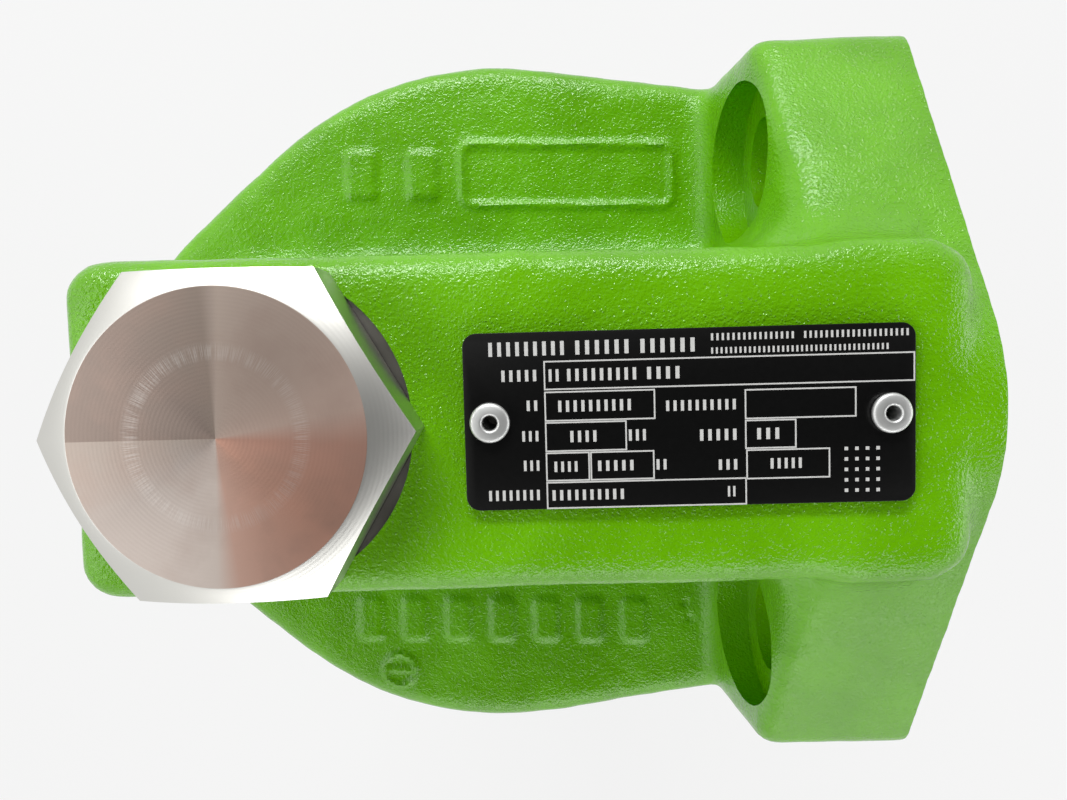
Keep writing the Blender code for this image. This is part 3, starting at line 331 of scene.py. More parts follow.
def concave_fillet(corner, along_a, along_b, radius, run):
    """The metal that rounds an inside corner between two faces, as a strip sunk into both."""
    corner, along_a, along_b = Vector(corner), Vector(along_a), Vector(along_b)
    half = along_a.angle(along_b) / 2
    bisector = (along_a + along_b).normalized()
    centre = corner + bisector * radius / math.sin(half)
    reach = radius / math.tan(half)
    touch_a, touch_b = corner + along_a * reach, corner + along_b * reach
    from_a = (touch_a - centre).normalized()
    from_b = (touch_b - centre).normalized()
    curve = [centre + from_a.slerp(from_b, i / 8) * radius for i in range(9)]
    below_a = (bisector.project(along_a) - bisector).normalized() * BLEND_SINK
    below_b = (bisector.project(along_b) - bisector).normalized() * BLEND_SINK
    return extruded(curve + [touch_b + below_b, corner - bisector * 2 * BLEND_SINK, touch_a + below_a], run)


def rounded_rectangle(left, right, low, high, radius, steps=4):
    """An upright rectangle with round corners, as a list of points."""
    outline = arc((right - radius, high - radius), radius, 0, math.pi / 2, steps)
    outline += arc((left + radius, high - radius), radius, math.pi / 2, math.pi, steps)
    outline += arc((left + radius, low + radius), radius, math.pi, 1.5 * math.pi, steps)
    outline += arc((right - radius, low + radius), radius, 1.5 * math.pi, math.tau, steps)
    return outline


def hexagon(across_flats, centre_x):
    radius = across_flats / math.sqrt(3)
    turns = [math.pi / 3 * i for i in range(6)]
    return [(centre_x + radius * math.cos(t), radius * math.sin(t)) for t in turns]


def outside(x, y, left, right, low, high, radius):
    """Distance of a point from the edge of a rounded rectangle, negative inside it."""
    across = abs(x - (left + right) / 2) - (right - left) / 2 + radius
    along = abs(y - (low + high) / 2) - (high - low) / 2 + radius
    return math.hypot(max(across, 0), max(along, 0)) + min(max(across, along), 0) - radius


def gather(shapes):
    """Put several closed shapes into one bmesh."""
    whole = bmesh.new()
    for shape in shapes:
        mesh = bpy.data.meshes.new("part")
        shape.to_mesh(mesh)
        shape.free()
        whole.from_mesh(mesh)
        bpy.data.meshes.remove(mesh)
    return whole


def add_piece(name, shape, *finishes):
    """Make an object of a bmesh that was built in place."""
    mesh = bpy.data.meshes.new(name)
    shape.to_mesh(mesh)
    shape.free()
    mesh.shade_smooth()
    mesh.set_sharp_from_angle(angle=SHARP_ANGLE)
    for finish in finishes:
        mesh.materials.append(finish)
    piece = bpy.data.objects.new(name, mesh)
    bpy.context.collection.objects.link(piece)
    return piece


def settle(piece):
    """Apply a piece's modifiers to its mesh."""
    bpy.context.view_layer.update()
    mesh = bpy.data.meshes.new_from_object(piece.evaluated_get(bpy.context.evaluated_depsgraph_get()))
    old = piece.data
    piece.modifiers.clear()
    piece.data = mesh
    bpy.data.meshes.remove(old)


def carve(piece, shape, finish_index=0, operation="DIFFERENCE"):
    """Cut a closed shape from a piece at once. Its new faces take the finish with that index."""
    for face in shape.faces:
        face.material_index = finish_index
    cutter = add_piece("cutter", shape, *piece.data.materials)
    boolean = piece.modifiers.new("cut", "BOOLEAN")
    boolean.operation = operation
    boolean.solver = "MANIFOLD"
    boolean.object = cutter
    settle(piece)
    mesh = cutter.data
    bpy.data.objects.remove(cutter)
    bpy.data.meshes.remove(mesh)


def join_on(piece, shape):
    """Add a closed shape to a piece's mesh, as it is."""
    body = bmesh.new()
    body.from_mesh(piece.data)
    whole = gather([body, shape])
    whole.to_mesh(piece.data)
    whole.free()


# Finishes

def linear(code):
    """Turn an sRGB hex value into linear red, green, blue and alpha."""
    parts = [int(code[i:i + 2], 16) / 255 for i in (0, 2, 4)]
    return tuple(p / 12.92 if p <= 0.04045 else ((p + 0.055) / 1.055) ** 2.4 for p in parts) + (1.0,)


def noise_scale(size_mm):
    """Scale of a noise or cell pattern whose marks are this wide, to two digits."""
    return float(f"{1000 / size_mm:.2g}")


def line_scale(spacing_mm):
    """Scale of a wave pattern whose lines lie this far apart, to two digits. The texture takes it 20 times."""
    return float(f"{1000 * math.tau / 20 / spacing_mm:.2g}")


def put(tree, kind, sockets=None, **settings):
    """Add a node. A socket is given a value, or the output that feeds it."""
    node = tree.nodes.new(kind)
    for name, value in settings.items():
        setattr(node, name, value)
    for name, value in (sockets or {}).items():
        if isinstance(value, bpy.types.NodeSocket):
            tree.links.new(value, node.inputs[name])
        else:
            node.inputs[name].default_value = value
    return node


def new_finish(name):
    """An empty material with its node tree and the Object coordinates."""
    finish = bpy.data.materials.new(name)
    finish.use_nodes = True
    tree = finish.node_tree
    tree.nodes.clear()
    place = put(tree, "ShaderNodeTexCoord").outputs["Object"]
    return finish, tree, place


def close_finish(tree, sockets):
    """Add the Principled BSDF with its output."""
    shader = put(tree, "ShaderNodeBsdfPrincipled", sockets)
    put(tree, "ShaderNodeOutputMaterial", {"Surface": shader.outputs[0]})


def cast_paint():
    """Yellow-green gloss enamel sprayed over sand-cast iron.

    The iron's grain shows through as an orange-peel skin, and its grit breaks the gloss into small glints.
    Moulding sand is 0.2 to 0.3 mm wide. It is drawn twice as coarse, because finer grains don't show.
    """
    finish, tree, place = new_finish("gloss_enamel_on_cast_iron")
    patches = put(tree, "ShaderNodeTexNoise", {"Vector": place, "Scale": noise_scale(13.3), "Detail": 4.0})
    tone = put(tree, "ShaderNodeMapRange", {"Value": patches.outputs[0], "From Min": 0.35, "From Max": 0.65})
    colour = put(tree, "ShaderNodeMix", {"Factor": tone.outputs[0], 6: linear("5ea100"), 7: linear("68b000")},
                 data_type="RGBA")
    waves = put(tree, "ShaderNodeTexNoise", {"Vector": place, "Scale": noise_scale(2.6), "Detail": 3.0})
    swell = put(tree, "ShaderNodeBump", {"Height": waves.outputs[0], "Strength": 0.4, "Distance": 0.0003})
    grain = put(tree, "ShaderNodeTexNoise", {"Vector": place, "Scale": noise_scale(0.53), "Detail": 2.0,
                                             "Roughness": 0.6})
    peel = put(tree, "ShaderNodeBump", {"Height": grain.outputs[0], "Strength": 0.9, "Distance": 0.0002,
                                        "Normal": swell.outputs[0]})
    grit = put(tree, "ShaderNodeTexVoronoi", {"Vector": place, "Scale": noise_scale(0.43)})
    peaks = put(tree, "ShaderNodeMapRange", {"Value": grit.outputs["Distance"], "From Min": 0.1,
                                             "From Max": 0.42, "To Min": 1.0, "To Max": 0.0})
    skin = put(tree, "ShaderNodeBump", {"Height": peaks.outputs[0], "Strength": 0.8, "Distance": 0.00005,
                                        "Normal": peel.outputs[0]})
    gloss = put(tree, "ShaderNodeMapRange", {"Value": patches.outputs[0], "From Min": 0.4, "From Max": 0.6,
                                             "To Min": 0.12, "To Max": 0.22})
    close_finish(tree, {"Base Color": colour.outputs[2], "Roughness": gloss.outputs[0],
                        "Normal": skin.outputs[0], "IOR": 1.5})
    return finish


def bowl_paint():
    """The same enamel on a drawn steel bowl, which is smoother than the casting."""
    finish, tree, place = new_finish("gloss_enamel_on_steel")
    patches = put(tree, "ShaderNodeTexNoise", {"Vector": place, "Scale": noise_scale(25), "Detail": 2.0})
    colour = put(tree, "ShaderNodeMix", {"Factor": patches.outputs[0], 6: linear("5fa303"),
                                         7: linear("6ab004")}, data_type="RGBA")
    peel = put(tree, "ShaderNodeTexNoise", {"Vector": place, "Scale": noise_scale(2.6), "Detail": 1.0})
    skin = put(tree, "ShaderNodeBump", {"Height": peel.outputs[0], "Strength": 0.2, "Distance": 0.0003})
    close_finish(tree, {"Base Color": colour.outputs[2], "Roughness": 0.25, "Normal": skin.outputs[0],
                        "IOR": 1.5, "Coat Weight": 0.3, "Coat Roughness": 0.08})
    return finish


def milled_iron():
    """Bare grey cast iron, milled: straight cutter marks, faint stains and a dull shine.

    A face cutter leaves marks 0.2 to 1 mm apart. They are drawn 1.2 mm apart, so that they show.
    """
    finish, tree, place = new_finish("milled_cast_iron")
    marks = put(tree, "ShaderNodeTexWave", {"Vector": place, "Scale": line_scale(1.2), "Distortion": 1.5,
                                            "Detail": 2.0}, bands_direction="Z")
    stains = put(tree, "ShaderNodeTexNoise", {"Vector": place, "Scale": noise_scale(8.3), "Detail": 4.0})
    colour = put(tree, "ShaderNodeMix", {"Factor": stains.outputs[0], 6: linear("77746f"),
                                         7: linear("a19e98")}, data_type="RGBA")
    skin = put(tree, "ShaderNodeBump", {"Height": marks.outputs[0], "Strength": 0.25, "Distance": 0.0001})
    rough = put(tree, "ShaderNodeMapRange", {"Value": stains.outputs[0], "To Min": 0.3, "To Max": 0.5})
    close_finish(tree, {"Base Color": colour.outputs[2], "Metallic": 1.0, "Roughness": rough.outputs[0],
                        "Normal": skin.outputs[0]})
    return finish


def turned_steel():
    """Stainless steel faced on a lathe, with fine circles round the plug's axis.

    The circles carry a painted reflection of the room in four wedges of different tone, and short scratches run
    out from the middle.
    A lathe leaves them about 0.1 mm apart. They are drawn 0.45 mm apart, so that they show.
    """
    finish, tree, place = new_finish("turned_stainless_steel")
    centred = put(tree, "ShaderNodeMapping", {"Vector": place, "Location": (-PLUG_AXIS_X, 0, 0)})
    angle = put(tree, "ShaderNodeTexGradient", {"Vector": centred.outputs[0]}, gradient_type="RADIAL")
    # Painted reflection: a colour ramp by angle round the plug's axis stands in for the room mirrored in the
    # faced end
    painted_reflection = put(tree, "ShaderNodeValToRGB", {"Fac": angle.outputs["Fac"]})
    ramp = painted_reflection.color_ramp
    ramp.elements[0].position, ramp.elements[1].position = 0.0, LAST_PAINTED_REFLECTION_WEDGE
    ramp.elements[0].color = ramp.elements[1].color = linear(PAINTED_REFLECTION_WEDGES[0][1])
    for position, code in PAINTED_REFLECTION_WEDGES[1:]:
        ramp.elements.new(position).color = linear(code)
    ramp.elements[-1].color = linear(PAINTED_REFLECTION_WEDGES[-1][1])
    flat = put(tree, "ShaderNodeVectorMath", {0: centred.outputs[0], 1: (1, 1, 0)}, operation="MULTIPLY")
    away = put(tree, "ShaderNodeVectorMath", {0: flat.outputs[0]}, operation="LENGTH").outputs["Value"]

    # The ring of short scratches. The noise is longer than the ring is wide, so they run across it
    spokes = put(tree, "ShaderNodeCombineXYZ", {"X": angle.outputs["Fac"], "Y": away})
    stretched = put(tree, "ShaderNodeMapping", {"Vector": spokes.outputs[0],
                                                "Scale": (TICKS_PER_TURN, noise_scale(3.3), 1)})
    ticks = put(tree, "ShaderNodeTexNoise", {"Vector": stretched.outputs[0], "Scale": 1.0, "Detail": 1.0})
    off_band = put(tree, "ShaderNodeMath", {0: away, 1: TICK_RADIUS}, operation="SUBTRACT")
    off_band = put(tree, "ShaderNodeMath", {0: off_band.outputs[0]}, operation="ABSOLUTE")
    band = put(tree, "ShaderNodeMapRange", {"Value": off_band.outputs[0], "From Min": 0.0011,
                                            "From Max": 0.0004})
    scratch = put(tree, "ShaderNodeMapRange", {"Value": ticks.outputs[0], "From Min": 0.45, "From Max": 0.6,
                                               "To Max": 0.2})
    marked = put(tree, "ShaderNodeMath", {0: scratch.outputs[0], 1: band.outputs[0]}, operation="MULTIPLY")

    # Stains and scratches over the painted reflection wedges, and plain steel beyond the faced end
    stains = put(tree, "ShaderNodeTexNoise", {"Vector": place, "Scale": noise_scale(5.9), "Detail": 4.0})
    stained = put(tree, "ShaderNodeMapRange", {"Value": stains.outputs[0], "From Min": 0.45, "From Max": 0.75,
                                               "To Max": 0.35})
    faced = put(tree, "ShaderNodeMix", {"Factor": stained.outputs[0], 6: painted_reflection.outputs[0],
                                        7: linear("a58c80")}, data_type="RGBA")
    faced = put(tree, "ShaderNodeMix", {"Factor": marked.outputs[0], 6: faced.outputs[2],
                                        7: linear("e9e6e2")}, data_type="RGBA")
    beyond = put(tree, "ShaderNodeMath", {0: away, 1: PLUG_FACE_DIAMETER / 2}, operation="GREATER_THAN")
    height = put(tree, "ShaderNodeSeparateXYZ", {"Vector": place}).outputs["Z"]
    under = put(tree, "ShaderNodeMath", {0: height, 1: HEAD_TOP + PLUG_HEAD_HEIGHT / 2}, operation="LESS_THAN")
    beyond = put(tree, "ShaderNodeMath", {0: beyond.outputs[0], 1: under.outputs[0]}, operation="MAXIMUM")
    colour = put(tree, "ShaderNodeMix", {"Factor": beyond.outputs[0], 6: faced.outputs[2],
                                         7: linear("d3d2cd")}, data_type="RGBA")
    rough = put(tree, "ShaderNodeMapRange", {"Value": beyond.outputs[0], "To Min": 0.5, "To Max": 0.4})

    circles = put(tree, "ShaderNodeTexWave", {"Vector": centred.outputs[0], "Scale": line_scale(0.45),
                                              "Distortion": 0.3, "Detail": 1.0},
                  wave_type="RINGS", rings_direction="Z")
    skin = put(tree, "ShaderNodeBump", {"Height": circles.outputs[0], "Strength": 0.12, "Distance": 0.00002})
    grain = put(tree, "ShaderNodeTangent", direction_type="RADIAL", axis="Z")
    close_finish(tree, {"Base Color": colour.outputs[2], "Metallic": 1.0, "Roughness": rough.outputs[0],
                        "Anisotropic": 0.5, "Tangent": grain.outputs[0], "Normal": skin.outputs[0]})
    return finish


def plain_metal(name, dark, light, roughness, mottle_mm=6.7):
    """A worn or plated metal without a direction, mottled between two tones."""
    finish, tree, place = new_finish(name)
    mottle = put(tree, "ShaderNodeTexNoise", {"Vector": place, "Scale": noise_scale(mottle_mm), "Detail": 4.0})
    colour = put(tree, "ShaderNodeMix", {"Factor": mottle.outputs[0], 6: linear(dark), 7: linear(light)},
                 data_type="RGBA")
    rough = put(tree, "ShaderNodeMapRange", {"Value": mottle.outputs[0], "To Min": roughness - 0.06,
                                             "To Max": roughness + 0.06})
    skin = put(tree, "ShaderNodeBump", {"Height": mottle.outputs[0], "Strength": 0.1, "Distance": 0.0001})
    close_finish(tree, {"Base Color": colour.outputs[2], "Metallic": 1.0, "Roughness": rough.outputs[0],
                        "Normal": skin.outputs[0]})
    return finish


def plain_skin(name, dark, light, roughness, grain_mm, bump, distance=0.0001, ior=1.5):
    """A rubber, lacquer, plastic or fleece with a grain between two tones, drawn coarser than the real one."""
    finish, tree, place = new_finish(name)
    grain = put(tree, "ShaderNodeTexNoise", {"Vector": place, "Scale": noise_scale(grain_mm), "Detail": 3.0})
    colour = put(tree, "ShaderNodeMix", {"Factor": grain.outputs[0], 6: linear(dark), 7: linear(light)},
                 data_type="RGBA")
    skin = put(tree, "ShaderNodeBump", {"Height": grain.outputs[0], "Strength": bump, "Distance": distance})
    close_finish(tree, {"Base Color": colour.outputs[2], "Roughness": roughness, "Normal": skin.outputs[0],
                        "IOR": ior})
    return finish


PAINT = cast_paint()
BOWL_PAINT = bowl_paint()
IRON = milled_iron()
STEEL = turned_steel()
# Cool grey with a soft, faintly cloudy gleam
PLATED = plain_metal("zinc_plated_steel", "8f9194", "b4b6b8", 0.36)
# Pale and satin, almost white on a rolled edge
ALUMINIUM = plain_metal("drawn_aluminium", "cbccca", "dedfde", 0.5, 2.5)
# Dull salmon red
COPPER = plain_metal("annealed_copper", "a3623f", "c98a62", 0.4)
# Near black, almost without a shine
RUBBER = plain_skin("nitrile_rubber", "0b0b0b", "1a1a1a", 0.6, 1.11, 0.15)
# Deep black with a smooth, weak sheen
LACQUER = plain_skin("black_anodised_plate", "050505", "0c0c0c", 0.3, 0.67, 0.1, 0.00004, 1.38)
# Light grey strokes where the black is missing
PRINT = plain_skin("bared_aluminium_print", "b9b9b7", "cfcfcd", 0.45, 0.67, 0.1, 0.00004)
# Milky white and waxy
POLYMER = plain_skin("white_slide_polymer", "c9c7bf", "dad8d0", 0.5, 2.0, 0.1)
# Cream, fibrous and matt
FLEECE = plain_skin("glass_fibre_fleece", "c9c4ae", "e6e2d2", 0.9, 1.43, 0.5, 0.0003)


# The casting

def flange_plate():
    """The gabled flange. It runs past the machined face, which is cut later."""
    half = FLANGE_WIDTH / 2
    apex = (0, HEAD_TOP - GABLE_RADIUS)
    right = arc(apex, GABLE_RADIUS, math.pi / 2, math.pi / 2 - ROOF_ANGLE, 8)
    corner_lift = FLANGE_CORNER_RADIUS * math.tan((math.pi / 2 - ROOF_ANGLE) / 2)
    right += arc((half - FLANGE_CORNER_RADIUS, SHOULDER_Z - corner_lift), FLANGE_CORNER_RADIUS,
                 math.pi / 2 - ROOF_ANGLE, 0, 6)
    right += arc((half - FLANGE_FOOT_RADIUS, FLANGE_BOTTOM_Z + FLANGE_FOOT_RADIUS), FLANGE_FOOT_RADIUS, 0,
                 -math.pi / 2, 10)
    left = [(-y, z) for y, z in reversed(right[1:])]
    shape = extruded([(FLANGE_PAST_FACE, y, z) for y, z in right + left],
                     (-FLANGE_THICKNESS - FLANGE_PAST_FACE, 0, 0))
    bmesh.ops.bisect_plane(shape, geom=shape.verts[:] + shape.edges[:] + shape.faces[:], dist=1e-7,
                           plane_co=(0, 0, BELL_TOP_Z), plane_no=(0, 0, 1))
    rim = {edge for edge in shape.edges
           if all(vert.co.x < -FLANGE_THICKNESS / 2 for vert in edge.verts)
           and any(abs(face.normal.x) < 0.5 for face in edge.link_faces)}
    for vert in shape.verts:
        if vert.co.x < -FLANGE_THICKNESS / 2:
            vert.co.x += max(0, vert.co.z - BELL_TOP_Z) * math.tan(FLANGE_DRAFT)
    round_edges(shape, FLANGE_EDGE_RADIUS, lambda edge: edge in rim, 6)
    return shape


def bell_body():
    """The round bell, its straight sides into the flange and its nose below the plug."""
    end_x = -FLANGE_THICKNESS + BELL_INTO_FLANGE
    end_y = FLANGE_WIDTH / 2 - BELL_INSIDE_EDGE
    radius, nose = BELL_DIAMETER / 2, NOSE_DIAMETER / 2
    run_x = end_x - BELL_AXIS_X
    leave = math.atan2(end_y, run_x) + math.acos(radius / math.hypot(run_x, end_y))
    tangent = math.pi - math.acos((radius - nose) / (BELL_AXIS_X - PLUG_AXIS_X))
    far = arc((BELL_AXIS_X, 0), radius, leave, tangent, 30)
    far += arc((PLUG_AXIS_X, 0), nose, tangent, math.pi, 20)
    near = [(x, -y) for x, y in reversed(far[:-1])]
    shape = upright_prism(far + near + [(end_x, -end_y), (end_x, end_y)], BELL_BOTTOM_Z, BELL_TOP_Z)
    front = -FLANGE_THICKNESS + INTO_FLANGE
    rims = ((BELL_TOP_Z, BELL_EDGE_RADIUS, 6), (BELL_BOTTOM_Z, BELL_EDGE_RADIUS / 2, 4))
    for level, edge_radius, steps in rims:
        level_edge = all_at(2, level)
        round_edges(shape, edge_radius,
                    lambda edge: level_edge(edge) and min(v.co.x for v in edge.verts) < front, steps)
    return shape


def bar():
    half = BAR_WIDTH / 2
    shape = upright_prism(rounded_rectangle(-BAR_LENGTH, -BAR_END_SETBACK, -half, half, BAR_CORNER_RADIUS, 6),
                          CEILING_Z + OVERCUT, HEAD_TOP)
    for vert in shape.verts:
        vert.co.y -= math.copysign(BAR_TAPER / 2, vert.co.y) * (vert.co.x / BAR_LENGTH + 0.5)
    round_edges(shape, BAR_EDGE_RADIUS, all_at(2, HEAD_TOP), 6)
    return shape


def cast_blends():
    """The cast blends in the inside corners between the bar, the bell and the flange."""
    half = BAR_WIDTH / 2
    inside_flange = -FLANGE_THICKNESS + INTO_FLANGE
    roof_z = ROOF_APEX_Z - half * math.tan(ROOF_ANGLE)
    roof_start = -FLANGE_THICKNESS + (roof_z - BELL_TOP_Z) * math.tan(FLANGE_DRAFT) + FLANGE_EDGE_RADIUS * 0.4
    ear_half = FLANGE_WIDTH / 2 - FLANGE_EDGE_RADIUS
    lean = Vector((math.sin(FLANGE_DRAFT), 0, math.cos(FLANGE_DRAFT)))
    strips = []
    for side in (1, -1):
        # Along the bar's foot on the bell
        strips.append(concave_fillet(
            (-BAR_LENGTH + BAR_CORNER_RADIUS, side * half, BELL_TOP_Z), (0, side, 0), (0, 0, 1),
            BAR_FOOT_RADIUS, (inside_flange + BAR_LENGTH - BAR_CORNER_RADIUS, 0, 0)))
        # From the roof up to the bar
        strips.append(concave_fillet(
            (roof_start, side * half, roof_z), (0, side * math.cos(ROOF_ANGLE), -math.sin(ROOF_ANGLE)),
            (0, 0, 1), ROOF_BLEND_RADIUS, (-BAR_END_SETBACK - BAR_CORNER_RADIUS - roof_start, 0, 0)))
        # Along the ear's foot on the bell
        strips.append(concave_fillet(
            (-FLANGE_THICKNESS, side * (half - EAR_BLEND_OVERLAP), BELL_TOP_Z), (-1, 0, 0), lean,
            EAR_FOOT_RADIUS, (0, side * (ear_half - half), 0)))
        # Up the corner between the ear and the bar
        strips.append(concave_fillet(
            (-FLANGE_THICKNESS, side * half, BELL_TOP_Z - BLEND_SINK), (-1, 0, 0), (0, side, 0),
            BAR_FOOT_RADIUS, lean * (roof_z - BELL_TOP_Z - FLANGE_EDGE_RADIUS)))
    return strips


def add_marks(shape):
    """Raise the cast marks on the bell's top: a frame, blank pads and a round stamp, with two small dents."""
    for vert in shape.verts:
        x, y, z = vert.co
        if abs(z - BELL_TOP_Z) > MARK_LEVEL:
            continue
        y += MARK_TILT * (x - MARK_TILT_X)
        lift = max(0, 1 - abs(outside(x, y, *MARK_FRAME)) / MARK_RIDGE)
        for pad in MARK_PADS:
            lift = max(lift, min(1, -outside(x, y, *pad) / MARK_RIDGE))
        stamp = math.hypot(x - STAMP[0], y - STAMP[1])
        lift = max(lift, 1 - abs(stamp - STAMP[2]) / STAMP_LINE)
        if stamp < STAMP[2]:
            lift = max(lift, 1 - abs(y - STAMP[1]) / STAMP_LINE)
        for place in DENTS:
            lift = min(lift, -1 + math.hypot(x - place[0], y - place[1]) / DENT_RADIUS)
        vert.co.z += MARK_HEIGHT * lift


def near_marks(place):
    left, right, from_middle = MARK_AREA
    return (abs(place.z - BELL_TOP_Z) < MARK_AREA_LEVEL and left < place.x < right
            and abs(place.y) > from_middle)


def cast_skin():
    """The casting's rough outside: one closed skin with soft blends, then an uneven cast surface."""
    blank = add_piece("cast_head", gather([flange_plate(), bell_body(), bar()] + cast_blends()), PAINT, IRON)
    remesh = blank.modifiers.new("skin", "REMESH")
    remesh.mode = "VOXEL"
    remesh.voxel_size = CAST_VOXEL
    settle(blank)
    shape = bmesh.new()
    shape.from_mesh(blank.data)
    relax(shape, shape.verts, CAST_SMOOTHING)
    cove = [vert for vert in shape.verts
            if (Vector((vert.co.x, abs(vert.co.y), vert.co.z)) - COVE).length < COVE_RADIUS
            and vert.co.z < HEAD_TOP - COVE_BELOW_TOP]
    relax(shape, cove, COVE_SMOOTHING)
    marked = [face for face in shape.faces if near_marks(face.calc_center_median())]
    bmesh.ops.subdivide_edges(shape, edges=list({edge for face in marked for edge in face.edges}), cuts=1,
                              use_grid_fill=True)
    add_marks(shape)
    shape.normal_update()
    for vert in shape.verts:
        swell = sum(noise.noise(vert.co * fineness) * height for fineness, height in CAST_WAVES)
        swell += PIMPLE_HEIGHT * max(0, 1 - ((vert.co - PIMPLE).length / PIMPLE_RADIUS) ** 2)
        vert.co += vert.normal * swell
    shape.to_mesh(blank.data)
    shape.free()
    return blank


def machine_head(head):
    """Cut the machined face, bores, ports and holes into the casting. Bare iron has the index 1."""
    box = bmesh.new()
    bmesh.ops.create_cube(box, size=0.2, matrix=Matrix.Translation((0.1, 0, 0)))
    carve(head, box, 1)
    under_bell = BELL_BOTTOM_Z + 0.0002
    carve(head, turned([(0, FLANGE_BOTTOM_Z - OVERCUT), (BOWL_CLEARANCE_RADIUS, FLANGE_BOTTOM_Z - OVERCUT),
                        (BOWL_CLEARANCE_RADIUS, under_bell), (0, under_bell)], BELL_AXIS_X))
    mouth = BELL_BOTTOM_Z - OVERCUT
    carve(head, turned([(0, mouth), (HEAD_BORE[0][0], mouth)] + HEAD_BORE, BELL_AXIS_X), 1)
    spot_face, above = SPOT_FACE_DIAMETER / 2, HEAD_TOP + OVERCUT
    carve(head, turned([(0, above), (spot_face, above), (spot_face, SPOT_FACE_Z)] + INDICATOR_PORT,
                       PLUG_AXIS_X), 1)
    for y in (-SCREW_Y, SCREW_Y):
        for z in (UPPER_SCREW_Z, LOWER_SCREW_Z):
            carve(head, rod((COUNTERBORE_START_X, y, z), (-CLAMP_THICKNESS, y, z), COUNTERBORE_DIAMETER, 64))
            carve(head, rod((-CLAMP_THICKNESS - OVERCUT / 2, y, z), (OVERCUT, y, z), SCREW_HOLE_DIAMETER))
    for bottom, top, diameter in BYPASS_BORES:
        carve(head, rod((BYPASS_X, 0, bottom), (BYPASS_X, 0, top), diameter), 1)
    for start, end in SENSING_HOLES:
        carve(head, rod(start, end, SENSING_DIAMETER, 16), 1)
    for z, deep in ((OUTLET_Z, BELL_AXIS_X), (-OUTLET_Z, INLET_END_X)):
        carve(head, rod((deep, 0, z), (OVERCUT, 0, z), PORT_DIAMETER), 1)
        carve(head, rod((-PORT_SEAL_DEPTH, 0, z), (OVERCUT, 0, z), PORT_SEAL_DIAMETER, 64), 1)
    for x in (PLATE_X - RIVET_SPACING / 2, PLATE_X + RIVET_SPACING / 2):
        carve(head, rod((x, PLATE_Y, HEAD_TOP - RIVET_HOLE_DEPTH), (x, PLATE_Y, above),
                        RIVET_HOLE_DIAMETER, 16), 1)
    head.data.set_sharp_from_angle(angle=HEAD_SHARP_ANGLE)


head = cast_skin()
machine_head(head)
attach(head, "head")
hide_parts("filter_head")


# The screw plug

def thread_ridge(outer, depth, bottom, turns, axis_x, steps=48):
    """A screw thread as one closed ridge, wound up round a vertical axis."""
    shape = bmesh.new()
    inner = outer - depth - 0.0003
    foot, crest = THREAD_PITCH * 0.42, THREAD_PITCH * 0.07
    points = [(inner, -foot), (outer, -crest), (outer, crest), (inner, foot)]
    loop = shape.faces.new([shape.verts.new((radius, 0, bottom + rise)) for radius, rise in points])
    bmesh.ops.spin(shape, geom=[loop] + loop.edges[:] + loop.verts[:], cent=(0, 0, 0), axis=(0, 0, 1),
                   angle=math.tau * turns, dvec=(0, 0, THREAD_PITCH / steps), steps=int(steps * turns))
    bmesh.ops.remove_doubles(shape, verts=shape.verts, dist=1e-7)
    bmesh.ops.translate(shape, verts=shape.verts, vec=(axis_x, 0, 0))
    bmesh.ops.recalc_face_normals(shape, faces=shape.faces)
    return shape


def make_plug():
    """Hexagon head with turned chamfers, an undercut for the seal, and a threaded shank."""
    bottom, top = HEAD_TOP, HEAD_TOP + PLUG_HEAD_HEIGHT
    plug = add_piece("turned_plug", upright_prism(hexagon(PLUG_ACROSS_FLATS, PLUG_AXIS_X), bottom, top), STEEL)
    # The turned blank that takes off the hexagon's corners
    face, corner = PLUG_FACE_DIAMETER / 2, PLUG_ACROSS_FLATS / math.sqrt(3) + OVERCUT
    blank = turned([(0, bottom - 0.001), (corner - 0.0025, bottom - 0.001), (corner - 0.0020, bottom + 0.0002),
                    (corner, bottom + 0.0008), (corner, top - (corner - face) * math.tan(PLUG_CHAMFER)),
                    (face + 0.00012, top - 0.00006), (face - 0.0001, top), (0, top)], PLUG_AXIS_X, 144)
    carve(plug, blank, 0, "INTERSECT")
    shank, undercut = PLUG_THREAD_DIAMETER / 2, PLUG_UNDERCUT_DIAMETER / 2
    core = shank - PLUG_THREAD_DEPTH
    end = bottom - PLUG_SHANK_LENGTH
    body = turned([(0, bottom + 0.001), (undercut, bottom + 0.001), (undercut, bottom - PLUG_UNDERCUT_LENGTH),
                   (core, bottom - PLUG_UNDERCUT_LENGTH - 0.0003), (core, end + 0.0008),
                   (core - 0.0008, end), (0, end)], PLUG_AXIS_X, 72)
    thread = thread_ridge(shank, PLUG_THREAD_DEPTH, end + 0.0018, PLUG_THREAD_TURNS, PLUG_AXIS_X)
    join_on(plug, gather([body, thread]))
    plug.data.shade_smooth()
    plug.data.set_sharp_from_angle(angle=math.radians(20))
    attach(plug, "plug")
    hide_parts("screw_plug")


make_plug()


# Nameplate and rivets

def plate_print():
    """Left, right, low and high of each bar of the print, in millimetres."""
    bars = []
    for x0, x1, y0, y1 in PLATE_FRAMES:
        bars += [(x0, x1, y0 - FRAME_LINE, y0), (x0, x1, y1, y1 + FRAME_LINE),
                 (x0 - FRAME_LINE, x0, y0 - FRAME_LINE, y1 + FRAME_LINE),
                 (x1, x1 + FRAME_LINE, y0 - FRAME_LINE, y1 + FRAME_LINE)]
    for x0, x1, y0, y1 in PLATE_ROWS:
        count = max(2, round((x1 - x0) / (y1 - y0) / STROKE_SPACING))
        step = (x1 - x0) / count
        bars += [(x0 + step * i, x0 + step * (i + STROKE_FILL), y0 + STROKE_MARGIN, y1 - STROKE_MARGIN)
                 for i in range(count)]
    bars += [(x, x + DOT_SIZE, y, y + DOT_SIZE) for x in DOT_COLUMNS for y in DOT_LINES]
    return bars


